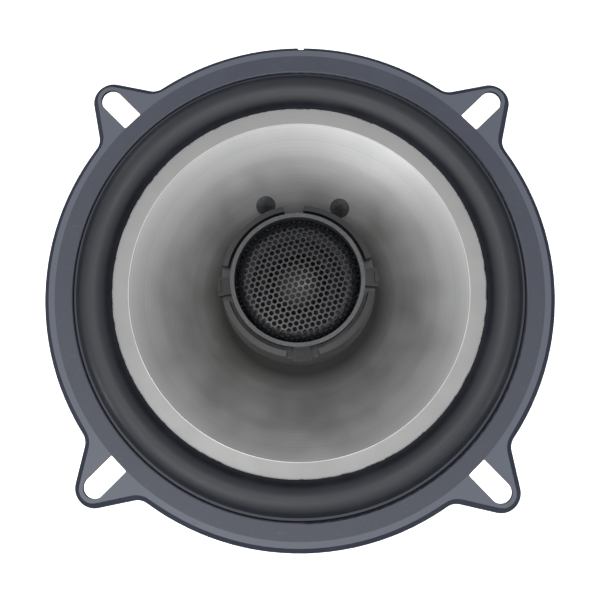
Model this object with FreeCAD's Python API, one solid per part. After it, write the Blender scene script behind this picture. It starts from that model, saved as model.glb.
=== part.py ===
"""Coaxial car loudspeaker, 130 mm class: pressed steel basket with four slotted ears, rubber surround,
metallised cone, ferrite motor and a small dome tweeter in a pod on a post through the pole.

Millimetres. The origin is the centre of the baffle face, the plane of the rim's rear edge that lies on
the panel. +Z points at the listener, and +Y is the side of the terminals.
"""
import FreeCAD, Part
import math
import os

vec = FreeCAD.Vector
z_axis = vec(0, 0, 1)

# Flange and ears
frame_radius = 65.0
flange_height = 3.0
sheet = 0.9
crease_from_rim = 3.3
flange_slope_deg = 4.0
rim_bevel = 1.5
ear_count = 4
first_ear_deg = 45.0
ear_reach = 10.8
ear_tip_radius = 5.0
ear_side_deg = 32.5
ear_root_fillet = 4.0
slot_width = 5.5
slot_tip_margin = 2.6
slot_into_rim = 3.1
slot_corner_round = 0.4
notch_width = 2.2
notch_floor_width = 1.4
notch_depth = 0.9

# Basket bowl
flat_ring_width = 4.45
seat_drop = 1.2
seat_width = 4.25
drum_depth = 8.0
landing_outer_radius = 37.5
landing_width = 6.1
landing_depth = 24.0
cup_depth = 7.0
cup_draft = 1.0
floor_bore_clearance = 1.5
bend_radius = 0.8
window_count = 4
window_half_angle_deg = 27.0
window_edge = 2.6
window_round = 3.0

# Surround
rim_clearance = 0.15
surround_rim_width = 0.75
roll_width = 9.15
roll_rise = 4.3
rubber = 0.5
surround_sink = 0.2
surround_foot = 3.5
lip_overlap = 3.4

# Cone
cone_edge_gap = 0.25
cone_sheet = 0.4
cone_rise = 0.4
cone_band_width = 3.95
neck_collar = 1.5
neck_above_landing = 4.1
bead_height = 0.35

# Glue dots on the cone
dot_radius = 2.85
dot_height = 0.8
dot_reach = 26.4
dot_angles_deg = (111.0, 65.7)

# Voice coil
former_radius = 12.9
former_wall = 0.25
former_above_neck = 0.9
former_below_winding = 0.5
winding_thickness = 0.6
winding_length = 8.0

# Spider
spider_sheet = 0.5
spider_landing_overlap = 0.7
spider_edge_gap = 0.8
spider_waves = 4
spider_wave_height = 0.8

# Motor
pole_gap = 0.35
coil_gap = 0.5
top_plate_inset = 1.0
top_plate_thickness = 4.0
magnet_radius = 36.0
magnet_bore_clearance = 2.0
magnet_thickness = 11.0
back_plate_inset = 2.0
back_plate_thickness = 4.0
plate_chamfer = 0.6

# Rivets that hold the basket to the top plate
rivet_count = 4
rivet_from_cup = 6.4
rivet_radius = 1.2
rivet_head_radius = 2.0
rivet_head_height = 1.0
rivet_head_round = 0.6
rivet_depth = 3.0

# Tweeter post and its nut
post_radius = 5.0
post_bore_radius = 1.9
stud_radius = 3.0
stud_clearance = 0.1
nut_recess_radius = 6.5
nut_recess_depth = 7.5
nut_thickness = 2.5
nut_across_flats = 8.0
washer_radius = 5.6
washer_thickness = 0.6
stud_past_nut = 0.5
wire_groove_width = 3.4
wire_groove_depth = 2.2

# Tweeter pod
pod_floor_z = 0.0
pod_floor = 1.6
pod_gap = 1.05
pod_rim_wall = 1.3
pod_rim_height = 3.4
pod_rim_fall = 0.25
pod_flare = 1.3
pod_skirt_height = 3.0
pod_boss_depth = 7.0
pod_boss_wall = 2.2
pod_gaps_deg = ((169.0, 197.0), (262.0, 287.0), (352.0, 378.0))
pod_wire_gap_deg = (86.0, 101.5)
pod_wire_gap_depth = 7.6

# Tweeter bezel, grille and tabs
bezel_wall = 0.95
bezel_height = 4.9
bezel_fit = 0.05
tab_past_rim = 0.95
tab_half_angle_deg = 7.0
tab_middles_deg = (184.5, 274.0, 3.5)
tab_hook_gap = 0.5
tab_hook_drop = 1.5
tab_height = 2.0
tab_lip = 0.8
tab_lip_height = 0.5
tab_lip_inset_deg = 3.0
grille_sheet = 0.4
grille_above_dome = 0.2
grille_seat_width = 1.0
grille_skirt = 0.3
grille_shoulder = 4.0
grille_cap_radius = 45.0
grille_fit = 0.05

# Tweeter motor and dome
tweeter_coil_radius = 6.75
tweeter_coil_wall = 0.45
tweeter_coil_length = 3.4
tweeter_gap = 0.4
tweeter_cup_wall = 2.0
tweeter_cup_floor = 1.8
tweeter_cup_height = 7.1
tweeter_cup_rise = 1.6
tweeter_magnet_inset = 0.35
tweeter_magnet_thickness = 3.5
tweeter_pole_thickness = 1.8
dome_height = 3.0
dome_sheet = 0.3
dome_edge_width = 3.0
dome_edge_height = 0.9
dome_rim_width = 1.3
dome_rim_gap = 2.2
frame_ring_step = 0.7
frame_ring_drop = 1.5
frame_ring_recess = 1.4

# Terminals
board_width = 22.0
board_length = 12.0
board_thickness = 1.6
board_pad_margin = 1.0
board_pad_rise = 0.5
board_mid_share = 0.52
board_rivet_offset = 9.2
blade_offset = 4.6
wide_blade = 4.75
narrow_blade = 2.8
blade_thickness = 0.8
blade_height = 6.8
blade_foot = 3.6
blade_hole_radius = 0.7
blade_hole_drop = 2.7
blade_tip_share = 0.2
board_rivet_head = 0.7
board_rivet_round = 0.4
lead_hole_radius = 1.3
lead_hole_drop = 4.2

# Leads and capacitor
tinsel_radius = 0.55
lead_bend = 3.0
lead_sag_out = 3.5
lead_sag_drop = 6.5
lead_under_board = 5.2
lead_over_board = 2.2
lead_solder_offset = 0.6
lead_loop = (-2.0, 2.6)
wire_radius = 0.5
wire_bend = 2.1
wire_pair_gap = 0.4
wire_groove_gap = 0.35
wire_magnet_gap = 1.1
wire_solder_place = (0.7, 0.2)
wire_loop = (-5.5, 5.0)
capacitor_radius = 3.15
capacitor_length = 12.0
capacitor_middle_x = -8.6
capacitor_gap = 0.35
capacitor_tail = 2.6
capacitor_crimp = 0.35
capacitor_crimp_width = 1.2

# Places that follow from the sizes above
crease_radius = frame_radius - crease_from_rim
ear_tip_centre_radius = frame_radius + ear_reach - ear_tip_radius
slot_outer_reach = frame_radius + ear_reach - slot_tip_margin
slot_inner_reach = frame_radius - slot_into_rim
seat_outer_radius = crease_radius - flat_ring_width
landing_inner_radius = landing_outer_radius - landing_width
landing_z = -landing_depth
floor_radius = landing_inner_radius - cup_draft
floor_z = landing_z - cup_depth
rivet_circle_radius = floor_radius - rivet_from_cup
seat_z = flange_height - seat_drop
seat_inner_radius = seat_outer_radius - seat_width
drum_bottom_z = seat_z - drum_depth
roll_outer_radius = seat_outer_radius - rim_clearance - surround_rim_width
roll_inner_radius = roll_outer_radius - roll_width
surround_base_z = flange_height - surround_sink
cone_top_z = flange_height + cone_rise
neck_z = landing_z + neck_above_landing
roll_mid_radius = roll_outer_radius - roll_width / 2
cone_radius = roll_inner_radius - cone_edge_gap
cone_band_inner = cone_radius - cone_band_width
lip_top_z = cone_top_z - cone_sheet
top_plate_z = floor_z - sheet
magnet_z = top_plate_z - top_plate_thickness
back_plate_z = magnet_z - magnet_thickness
rest_z = back_plate_z - back_plate_thickness
winding_radius = former_radius + winding_thickness
winding_mid_z = top_plate_z - top_plate_thickness / 2
winding_low_z = winding_mid_z - winding_length / 2
top_plate_bore_radius = winding_radius + coil_gap
floor_bore_radius = winding_radius + floor_bore_clearance
magnet_bore_radius = top_plate_bore_radius + magnet_bore_clearance
pole_radius = former_radius - former_wall - pole_gap
top_plate_radius = magnet_radius - top_plate_inset
back_plate_radius = magnet_radius - back_plate_inset
tweeter_cup_z = pod_floor_z + tweeter_cup_rise
tweeter_coil_outer = tweeter_coil_radius + tweeter_coil_wall
tweeter_magnet_radius = tweeter_coil_radius - tweeter_gap - tweeter_magnet_inset
dome_base_z = tweeter_cup_z + tweeter_cup_height + frame_ring_step
dome_rim_radius = tweeter_coil_outer + dome_edge_width + dome_rim_width
grille_seat_z = dome_base_z + dome_height + grille_above_dome
bezel_radius = dome_rim_radius + dome_rim_gap + grille_seat_width + bezel_wall
bezel_top_z = grille_seat_z + bezel_height
pod_rim_inner = bezel_radius + pod_gap
pod_rim_radius = pod_rim_inner + pod_rim_wall
pod_skirt_radius = pod_rim_radius + pod_flare
pod_gap_floor_z = grille_seat_z
pod_rim_z = pod_gap_floor_z + pod_rim_height
pod_skirt_z = pod_floor_z + pod_skirt_height
pod_under_z = pod_floor_z - pod_boss_depth
pod_boss_radius = post_radius + pod_boss_wall
tab_reach = pod_rim_radius + tab_past_rim
tab_top_z = pod_gap_floor_z + tab_height
nut_recess_z = rest_z + nut_recess_depth
washer_z = nut_recess_z - washer_thickness
nut_z = washer_z - nut_thickness
stud_end_z = nut_z - stud_past_nut
wall_run = landing_outer_radius - seat_inner_radius
wall_drop = landing_z - drum_bottom_z
wall_length = math.hypot(wall_run, wall_drop)
tweeter_cup_inner = tweeter_coil_outer + tweeter_gap
cup_outer_radius = tweeter_cup_inner + tweeter_cup_wall
cup_top_z = tweeter_cup_z + tweeter_cup_height
frame_ring_z = cup_top_z - frame_ring_drop


def polar(radius, angle_deg, z=0.0):
    angle = math.radians(angle_deg)
    return vec(radius * math.cos(angle), radius * math.sin(angle), z)


def ring(inner, outer, low_z, high_z):
    body = Part.makeCylinder(outer, high_z - low_z, vec(0, 0, low_z))
    if inner <= 0:
        return body
    return body.cut(Part.makeCylinder(inner, high_z - low_z, vec(0, 0, low_z)))


def spin(profile):
    """Turn a closed profile in the XZ plane once round the Z axis."""
    return profile.revolve(vec(0, 0, 0), z_axis, 360)


def profile_face(points):
    corners = [vec(r, 0, z) for r, z in points]
    return Part.Face(Part.makePolygon(corners + corners[:1]))


def lathe(points):
    return spin(profile_face(points))


def rounded_path(points, radius):
    """Join points in the XZ plane by straight lines, with an arc of the radius at each corner."""
    corners = [vec(r, 0, z) for r, z in points]
    edges = []
    start = corners[0]
    for before, corner, after in zip(corners, corners[1:], corners[2:]):
        to_before = (before - corner).normalize()
        to_after = (after - corner).normalize()
        half = to_before.getAngle(to_after) / 2
        room = 0.45 * min(before.distanceToPoint(corner), after.distanceToPoint(corner))
        tangent = min(radius / math.tan(half), room)
        arc_radius = tangent * math.tan(half)
        inward = (to_before + to_after).normalize()
        middle = corner + inward * (arc_radius / math.sin(half) - arc_radius)
        first = corner + to_before * tangent
        last = corner + to_after * tangent
        edges.append(Part.LineSegment(start, first).toShape())
        edges.append(Part.Arc(first, middle, last).toShape())
        start = last
    edges.append(Part.LineSegment(start, corners[-1]).toShape())
    return Part.Wire(edges)


def bent_sheet(points, thickness, radius):
    """A sheet of revolution whose front face follows the points."""
    return spin(rounded_path(points, radius).makeOffset2D(thickness, 0, True, True))


def wedge(low_deg, high_deg, radius, low_z, high_z):
    """A solid sector of a cylinder between two angles."""
    turn = high_deg - low_deg
    sector = Part.makeCylinder(radius, high_z - low_z, vec(0, 0, low_z), z_axis, turn)
    sector.rotate(vec(0, 0, 0), z_axis, low_deg)
    return sector


def turned(shape, angle_deg):
    copy = shape.copy()
    copy.rotate(vec(0, 0, 0), z_axis, angle_deg)
    return copy


def smooth_tube(points, radius, bend):
    """A round lead along straight runs joined by tangent arcs, no larger than the runs allow."""
    edges = []
    start = points[0]
    for before, corner, after in zip(points, points[1:], points[2:]):
        to_before = (before - corner).normalize()
        to_after = (after - corner).normalize()
        half = to_before.getAngle(to_after) / 2
        room = 0.45 * min(before.distanceToPoint(corner), after.distanceToPoint(corner))
        tangent = min(bend / math.tan(half), room)
        arc_radius = tangent * math.tan(half)
        inward = (to_before + to_after).normalize()
        middle = corner + inward * (arc_radius / math.sin(half) - arc_radius)
        first = corner + to_before * tangent
        last = corner + to_after * tangent
        edges.append(Part.LineSegment(start, first).toShape())
        edges.append(Part.Arc(first, middle, last).toShape())
        start = last
    edges.append(Part.LineSegment(start, points[-1]).toShape())
    circle = Part.Wire(Part.makeCircle(radius, points[0], points[1] - points[0]))
    return Part.Wire(edges).makePipeShell([circle], True, False)


# Basket

def ear_corner(radius, tip_radius, fillet):
    """Points of one ear's upper side in a frame where the ear points along +X."""
    side = math.radians(ear_side_deg)
    normal = vec(math.sin(side), math.cos(side), 0)
    along = vec(-math.cos(side), math.sin(side), 0)
    tip_centre = vec(ear_tip_centre_radius, 0, 0)
    base = tip_centre + normal * (tip_radius + fillet)
    half_b = base.dot(along)
    rest = base.dot(base) - (radius + fillet) ** 2
    step = -half_b - math.sqrt(half_b ** 2 - rest)
    fillet_centre = base + along * step
    tip_tangent = tip_centre + normal * tip_radius
    side_end = fillet_centre - normal * fillet
    circle_start = fillet_centre * (radius / (radius + fillet))
    bend = (side_end + circle_start) * 0.5 - fillet_centre
    fillet_middle = fillet_centre + bend.normalize() * fillet
    return tip_tangent, side_end, fillet_middle, circle_start


def flange_outline(inset):
    """The rim and its ears as one closed face, moved inwards by the inset."""
    radius = frame_radius - inset
    upper = ear_corner(radius, ear_tip_radius - inset, ear_root_fillet + inset)
    lower = [vec(point.x, -point.y, 0) for point in upper]
    tip = vec(ear_tip_centre_radius + ear_tip_radius - inset, 0, 0)
    pitch = 360.0 / ear_count
    next_start = FreeCAD.Rotation(z_axis, pitch).multVec(lower[3])
    half_way = polar(radius, pitch / 2)
    edges = []
    for index in range(ear_count):
        turn = FreeCAD.Rotation(z_axis, first_ear_deg + pitch * index)
        place = turn.multVec
        edges.append(Part.Arc(place(lower[3]), place(lower[2]), place(lower[1])).toShape())
        edges.append(Part.LineSegment(place(lower[1]), place(lower[0])).toShape())
        edges.append(Part.Arc(place(lower[0]), place(tip), place(upper[0])).toShape())
        edges.append(Part.LineSegment(place(upper[0]), place(upper[1])).toShape())
        edges.append(Part.Arc(place(upper[1]), place(upper[2]), place(upper[3])).toShape())
        edges.append(Part.Arc(place(upper[3]), place(half_way), place(next_start)).toShape())
    return Part.Face(Part.Wire(Part.__sortEdges__(edges)))


def sloped_slab(inset, height):
    """A slab of the outline whose top leans back outside the crease."""
    slab = flange_outline(inset).extrude(vec(0, 0, height))
    far = ear_tip_centre_radius + 2 * ear_tip_radius
    drop = (far - crease_radius) * math.tan(math.radians(flange_slope_deg))
    shaving = lathe([(crease_radius, height), (far, height - drop), (far, height + 1)])
    return slab.cut(shaving)


def rim_edges(slab, inset, low_z):
    """The edges of a slab that run round its rim above a height, nearer the rim than an inset."""
    edges = []
    for edge in slab.Edges:
        middle = edge.valueAt((edge.FirstParameter + edge.LastParameter) / 2)
        outside = math.hypot(middle.x, middle.y) > frame_radius - inset - 0.01
        if outside and edge.BoundBox.ZMin > low_z:
            edges.append(edge)
    return edges


def ear_slot():
    """A slot with a round outer end and a square inner end, along +X."""
    half = slot_width / 2
    arc_x = slot_outer_reach - half
    points = [vec(slot_inner_reach, -half, 0), vec(arc_x, -half, 0), vec(arc_x, half, 0)]
    points.append(vec(slot_inner_reach, half, 0))
    edges = [Part.LineSegment(points[0], points[1]).toShape()]
    edges.append(Part.Arc(points[1], vec(slot_outer_reach, 0, 0), points[2]).toShape())
    edges.append(Part.LineSegment(points[2], points[3]).toShape())
    edges.append(Part.LineSegment(points[3], points[0]).toShape())
    cutter = Part.Face(Part.Wire(edges)).extrude(vec(0, 0, flange_height * 2))
    corners = [e for e in cutter.Edges if e.BoundBox.ZLength > 1 and e.BoundBox.XMax < arc_x - 1]
    return cutter.makeFillet(slot_corner_round, corners)


def rim_notch():
    """The small key notch in the rim on the terminal side."""
    top = notch_width / 2
    floor = notch_floor_width / 2
    low_y = frame_radius - notch_depth
    high_y = frame_radius + 1
    points = [vec(-floor, low_y, -1), vec(floor, low_y, -1), vec(top, high_y, -1), vec(-top, high_y, -1)]
    return Part.Face(Part.makePolygon(points + points[:1])).extrude(vec(0, 0, flange_height + 2))


def flange_plate():
    slab = sloped_slab(0, flange_height)
    slab = slab.makeChamfer(rim_bevel, rim_edges(slab, 0, flange_height / 2))
    hollow = sloped_slab(sheet, flange_height - sheet)
    inner_bevel = rim_bevel - (2 - math.sqrt(2)) * sheet
    hollow = hollow.makeChamfer(inner_bevel, rim_edges(hollow, sheet, sheet))
    plate = slab.cut(hollow)
    plate = plate.cut(Part.makeCylinder(seat_outer_radius + sheet, flange_height * 2))
    for index in range(ear_count):
        plate = plate.cut(turned(ear_slot(), first_ear_deg + index * 360.0 / ear_count))
    return plate.cut(rim_notch())


def bowl_points():
    return [
        (seat_outer_radius + 2 * sheet, flange_height),
        (seat_outer_radius, flange_height),
        (seat_outer_radius, seat_z),
        (seat_inner_radius, seat_z),
        (seat_inner_radius, drum_bottom_z),
        (landing_outer_radius, landing_z),
        (landing_inner_radius, landing_z),
        (floor_radius, floor_z),
        (floor_bore_radius, floor_z),
    ]


def window_cutter():
    """A rounded trapezoid that cuts one window through the sloping wall, along +X."""
    top_z = drum_bottom_z - window_edge
    low_z = landing_z + window_edge
    share = window_edge / abs(wall_drop)
    spread = math.sin(math.radians(window_half_angle_deg))
    top_half = (seat_inner_radius + share * wall_run) * spread
    low_half = (landing_outer_radius - share * wall_run) * spread
    start_x = floor_radius
    points = [vec(start_x, -low_half, low_z), vec(start_x, low_half, low_z)]
    points += [vec(start_x, top_half, top_z), vec(start_x, -top_half, top_z)]
    cutter = Part.Face(Part.makePolygon(points + points[:1])).extrude(vec(frame_radius, 0, 0))
    return cutter.makeFillet(window_round, [e for e in cutter.Edges if e.BoundBox.XLength > 1])


def board_placement():
    """The frame of the terminal board: x along the rim, y up the wall, z out of the wall."""
    radius = seat_inner_radius + board_mid_share * wall_run
    z = drum_bottom_z + board_mid_share * wall_drop
    up_wall = vec(0, -wall_run / wall_length, -wall_drop / wall_length)
    outward = vec(0, -wall_drop / wall_length, wall_run / wall_length)
    origin = vec(0, radius, z) + outward * (sheet + board_pad_rise)
    matrix = FreeCAD.Matrix(
        -1, up_wall.x, outward.x, origin.x,
        0, up_wall.y, outward.y, origin.y,
        0, up_wall.z, outward.z, origin.z,
        0, 0, 0, 1)
    return FreeCAD.Placement(matrix)


def on_board(shape):
    placed = shape.copy()
    placed.Placement = board_placement().multiply(placed.Placement)
    return placed


def board_box(width, length, low, high):
    return Part.makeBox(width, length, high - low, vec(-width / 2, -length / 2, low))


def board_holes(radius, places, low, high):
    holes = [Part.makeCylinder(radius, high - low, vec(x, y, low)) for x, y in places]
    return Part.makeCompound(holes)


def lead_hole_places():
    return [(-blade_offset, -lead_hole_drop), (blade_offset, -lead_hole_drop)]


def board_rivet_places():
    return [(-board_rivet_offset, 0), (board_rivet_offset, 0)]


def terminal_pad(hollow):
    width = board_width + 2 * board_pad_margin
    length = board_length + 2 * board_pad_margin
    return on_board(board_box(width, length, -3 * sheet, 0)).cut(hollow)


def basket():
    front = bowl_points()
    bowl = bent_sheet(front, sheet, bend_radius)
    hollow = lathe([(0, flange_height), *front[1:-1], (0, floor_z)])
    frame = flange_plate().fuse(bowl)
    for index in range(window_count):
        frame = frame.cut(turned(window_cutter(), first_ear_deg + index * 360.0 / window_count))
    frame = frame.fuse(terminal_pad(hollow)).removeSplitter()
    for cutter in (
        on_board(board_holes(lead_hole_radius, lead_hole_places(), -4 * sheet, 1)),
        on_board(board_holes(rivet_radius, board_rivet_places(), -4 * sheet, 1)),
        rivet_shanks(),
    ):
        frame = frame.cut(cutter)
    return frame


def rivet_shanks():
    places = [polar(rivet_circle_radius, index * 360.0 / rivet_count) for index in range(rivet_count)]
    length = rivet_depth + sheet
    base = vec(0, 0, floor_z - length)
    return Part.makeCompound([Part.makeCylinder(rivet_radius, length, base + p) for p in places])


def basket_rivets():
    rivets = []
    for index in range(rivet_count):
        place = polar(rivet_circle_radius, index * 360.0 / rivet_count, floor_z)
        head = Part.makeCylinder(rivet_head_radius, rivet_head_height, place)
        top = [edge for edge in head.Edges if edge.BoundBox.ZMin > floor_z + rivet_head_height / 2]
        head = head.makeFillet(rivet_head_round, top)
        length = rivet_depth + sheet
        shank = Part.makeCylinder(rivet_radius, length, place - z_axis * length)
        rivets.append(head.fuse(shank).removeSplitter())
    return Part.makeCompound(rivets)


# Soft suspension

def surround():
    """A shallow roll with a foot glued in the basket's seat and a lip under the cone's edge."""
    base = surround_base_z
    inner_foot = roll_outer_radius - rubber
    rim_radius = seat_outer_radius - rim_clearance
    foot_radius = rim_radius - surround_foot
    lip_radius = cone_radius - lip_overlap
    outer_crown = vec(roll_mid_radius, 0, base + roll_rise)
    inner_crown = outer_crown - z_axis * rubber
    relief = bend_radius / 2
    before = [(foot_radius, seat_z), (rim_radius - relief, seat_z), (rim_radius, seat_z + relief)]
    before += [(rim_radius, base), (roll_outer_radius, base)]
    between = [(roll_inner_radius, base), (roll_inner_radius, lip_top_z), (lip_radius, lip_top_z)]
    between += [(lip_radius, lip_top_z - rubber), (roll_inner_radius + rubber, lip_top_z - rubber)]
    between += [(roll_inner_radius + rubber, base)]
    after = [(inner_foot, base), (inner_foot, seat_z + rubber), (foot_radius, seat_z + rubber)]
    runs = [[vec(r, 0, z) for r, z in run] for run in (before, between, after + before[:1])]
    edges = []
    for run in runs:
        for first, last in zip(run, run[1:]):
            edges.append(Part.LineSegment(first, last).toShape())
    edges.append(Part.Arc(runs[0][-1], outer_crown, runs[1][0]).toShape())
    edges.append(Part.Arc(runs[1][-1], inner_crown, runs[2][0]).toShape())
    return spin(Part.Face(Part.Wire(Part.__sortEdges__(edges))))


def spider():
    """A corrugated disc from the voice coil former to the basket's landing."""
    outer = landing_outer_radius - spider_edge_gap
    rim = landing_inner_radius - spider_landing_overlap
    top = landing_z + spider_sheet
    half_wave = (rim - former_radius) / (2 * spider_waves + 1)
    start = former_radius + half_wave

    def surface(z):
        edges = [Part.LineSegment(vec(former_radius, 0, z), vec(start, 0, z)).toShape()]
        for index in range(2 * spider_waves):
            left = vec(start + index * half_wave, 0, z)
            right = vec(start + (index + 1) * half_wave, 0, z)
            swing = spider_wave_height if index % 2 == 0 else -spider_wave_height
            middle = vec((left.x + right.x) / 2, 0, z + swing)
            edges.append(Part.Arc(left, middle, right).toShape())
        edges.append(Part.LineSegment(vec(rim, 0, z), vec(outer, 0, z)).toShape())
        return edges

    ends = []
    for radius in (former_radius, outer):
        ends.append(Part.LineSegment(vec(radius, 0, landing_z), vec(radius, 0, top)).toShape())
    edges = surface(landing_z) + surface(top) + ends
    return spin(Part.Face(Part.Wire(Part.__sortEdges__(edges))))


# Moving assembly

def cone_points():
    return [
        (cone_radius, cone_top_z),
        (cone_band_inner, cone_top_z),
        (former_radius, neck_z),
        (former_radius, neck_z - neck_collar),
    ]


def cone():
    wire = Part.makePolygon([vec(r, 0, z) for r, z in cone_points()])
    return spin(wire.makeOffset2D(cone_sheet, 2, True, True))


def cone_height(radius):
    """Height of the cone's front face at a radius inside the flat band."""
    share = (radius - former_radius) / (cone_band_inner - former_radius)
    return neck_z + share * (cone_top_z - neck_z)


def cone_edge_bead():
    low = lip_top_z
    return ring(cone_radius, roll_inner_radius, low, low + bead_height)


def lead_glue_dots():
    """Domes of adhesive where each tinsel lead passes under the cone."""
    slope = math.atan2(cone_top_z - neck_z, cone_band_inner - former_radius)
    hollow = lathe([(0, neck_z), (former_radius, neck_z), (cone_band_inner, cone_top_z), (0, cone_top_z)])
    dots = []
    for angle in dot_angles_deg:
        base = polar(dot_reach, angle, cone_height(dot_reach))
        inward = polar(-math.sin(slope), angle, math.cos(slope))
        ball_radius = (dot_radius ** 2 + dot_height ** 2) / (2 * dot_height)
        ball = Part.makeSphere(ball_radius, base + inward * (dot_height - ball_radius))
        dots.append(ball.common(hollow))
    return Part.makeCompound(dots)


def voice_coil_former():
    low = winding_low_z - former_below_winding
    return ring(former_radius - former_wall, former_radius, low, neck_z + former_above_neck)


def voice_coil_winding():
    return ring(former_radius, winding_radius, winding_low_z, winding_low_z + winding_length)


# Motor

def chamfered_disc(inner, outer, low_z, high_z, chamfer):
    return lathe([
        (inner, low_z),
        (outer - chamfer, low_z),
        (outer, low_z + chamfer),
        (outer, high_z - chamfer),
        (outer - chamfer, high_z),
        (inner, high_z),
    ])


def top_plate():
    bore = top_plate_bore_radius
    plate = chamfered_disc(bore, top_plate_radius, magnet_z, top_plate_z, plate_chamfer)
    return plate.cut(rivet_shanks())


def ferrite_magnet():
    return chamfered_disc(magnet_bore_radius, magnet_radius, back_plate_z, magnet_z, plate_chamfer)


def pole_yoke():
    """The back plate and the pole in one piece, with the nut's recess and the wire groove behind."""
    bore = stud_radius + stud_clearance
    yoke = chamfered_disc(bore, back_plate_radius, rest_z, back_plate_z, plate_chamfer)
    yoke = yoke.fuse(ring(bore, pole_radius, rest_z + plate_chamfer, top_plate_z)).removeSplitter()
    yoke = yoke.cut(ring(0, nut_recess_radius, rest_z - 1, nut_recess_z))
    start = vec(-wire_groove_width / 2, 0, rest_z - 1)
    groove = Part.makeBox(wire_groove_width, magnet_radius, wire_groove_depth + 1, start)
    return yoke.cut(groove)


def post_nut():
    corner = nut_across_flats / math.sqrt(3)
    points = [polar(corner, 60 * index, nut_z) for index in range(6)]
    body = Part.Face(Part.makePolygon(points + points[:1])).extrude(z_axis * nut_thickness)
    return body.cut(ring(0, stud_radius, nut_z - 1, washer_z + 1))


def post_washer():
    return ring(stud_radius, washer_radius, washer_z, nut_recess_z)


def tweeter_post():
    upper = ring(0, post_radius, top_plate_z, pod_floor_z - pod_floor)
    stud = ring(0, stud_radius, stud_end_z, top_plate_z)
    return upper.fuse(stud).removeSplitter().cut(ring(0, post_bore_radius, stud_end_z - 1, 1))


# Tweeter pod

def tweeter_pod():
    """A cup with a castellated rim; the tweeter sits on its ledge, and its boss holds the post."""
    seat_radius = bezel_radius + bezel_fit
    ledge_radius = cup_outer_radius + bezel_fit
    under_z = pod_floor_z - pod_floor
    body = lathe([
        (post_radius, pod_under_z),
        (pod_boss_radius, pod_under_z),
        (pod_skirt_radius - pod_floor, under_z),
        (pod_skirt_radius, under_z + pod_floor),
        (pod_skirt_radius, pod_skirt_z),
        (pod_rim_radius, pod_rim_z - pod_rim_fall),
        (pod_rim_inner, pod_rim_z),
        (pod_rim_inner, pod_gap_floor_z),
        (seat_radius, pod_gap_floor_z),
        (seat_radius, frame_ring_z),
        (ledge_radius, frame_ring_z),
        (ledge_radius, pod_floor_z),
        (post_bore_radius, pod_floor_z),
        (post_bore_radius, under_z),
        (post_radius, under_z),
    ])
    for low, high in pod_gaps_deg:
        body = body.cut(wedge(low, high, pod_skirt_radius + 1, pod_gap_floor_z, pod_rim_z + 1))
    low, high = pod_wire_gap_deg
    deep = wedge(low, high, pod_skirt_radius + 1, pod_gap_floor_z - pod_wire_gap_depth, pod_rim_z + 1)
    return body.cut(deep.cut(ring(0, seat_radius, pod_floor_z, pod_rim_z + 2)))


def tweeter_bezel():
    """The trim ring with three snap tabs that show in the gaps of the rim and hook over its wall."""
    inner = bezel_radius - bezel_wall
    body = ring(inner, bezel_radius, grille_seat_z, bezel_top_z)
    body = body.fuse(ring(inner - grille_seat_width, bezel_radius, dome_base_z, grille_seat_z))
    for middle in tab_middles_deg:
        low = middle - tab_half_angle_deg
        high = middle + tab_half_angle_deg
        tab = wedge(low, high, tab_reach, pod_gap_floor_z, tab_top_z)
        hook = wedge(low, high, tab_reach, pod_gap_floor_z - tab_hook_drop, pod_gap_floor_z)
        tab = tab.fuse(hook.cut(ring(0, pod_rim_radius + tab_hook_gap, pod_floor_z, pod_rim_z)))
        lip = wedge(low + tab_lip_inset_deg, high - tab_lip_inset_deg, tab_reach, tab_top_z,
                    tab_top_z + tab_lip_height)
        lip = lip.cut(ring(0, tab_reach - tab_lip, tab_top_z - 1, tab_top_z + 2))
        body = body.fuse(tab.fuse(lip).cut(ring(0, inner, dome_base_z, bezel_top_z)))
    return body.removeSplitter()


def tweeter_grille():
    """A thin domed cover on the bezel's seat: a shallow cap with a rounded shoulder and a short skirt."""
    outer = bezel_radius - bezel_wall - grille_fit
    shoulder_z = grille_seat_z + grille_skirt
    shoulder_x = outer - grille_shoulder
    reach = grille_cap_radius - grille_shoulder
    cap_z = shoulder_z - math.sqrt(reach ** 2 - shoulder_x ** 2)
    shoulder = vec(shoulder_x, 0, shoulder_z)
    cap = vec(0, 0, cap_z)
    outwards = (shoulder - cap).normalize()
    half_way = (outwards + vec(1, 0, 0)).normalize()
    crest_way = (outwards + z_axis).normalize()
    feet, crests, edges = [], [], []
    for inset in (0, grille_sheet):
        foot = vec(outer - inset, 0, grille_seat_z)
        skirt_top = vec(outer - inset, 0, shoulder_z)
        bend = shoulder + half_way * (grille_shoulder - inset)
        join = shoulder + outwards * (grille_shoulder - inset)
        crest = cap + crest_way * (grille_cap_radius - inset)
        apex = cap + z_axis * (grille_cap_radius - inset)
        edges.append(Part.LineSegment(foot, skirt_top).toShape())
        edges.append(Part.Arc(skirt_top, bend, join).toShape())
        edges.append(Part.Arc(join, crest, apex).toShape())
        feet.append(foot)
        crests.append(apex)
    edges.append(Part.LineSegment(feet[0], feet[1]).toShape())
    edges.append(Part.LineSegment(crests[0], crests[1]).toShape())
    return spin(Part.Face(Part.Wire(Part.__sortEdges__(edges))))


# Tweeter motor

def tweeter_yoke():
    cup = ring(0, cup_outer_radius, tweeter_cup_z, cup_top_z)
    return cup.cut(ring(0, tweeter_cup_inner, tweeter_cup_z + tweeter_cup_floor, cup_top_z + 1))


def tweeter_magnet():
    low = tweeter_cup_z + tweeter_cup_floor
    return ring(0, tweeter_magnet_radius, low, low + tweeter_magnet_thickness)


def tweeter_pole_cap():
    low = tweeter_cup_z + tweeter_cup_floor + tweeter_magnet_thickness
    return ring(0, tweeter_coil_radius - tweeter_gap, low, low + tweeter_pole_thickness)


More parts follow.
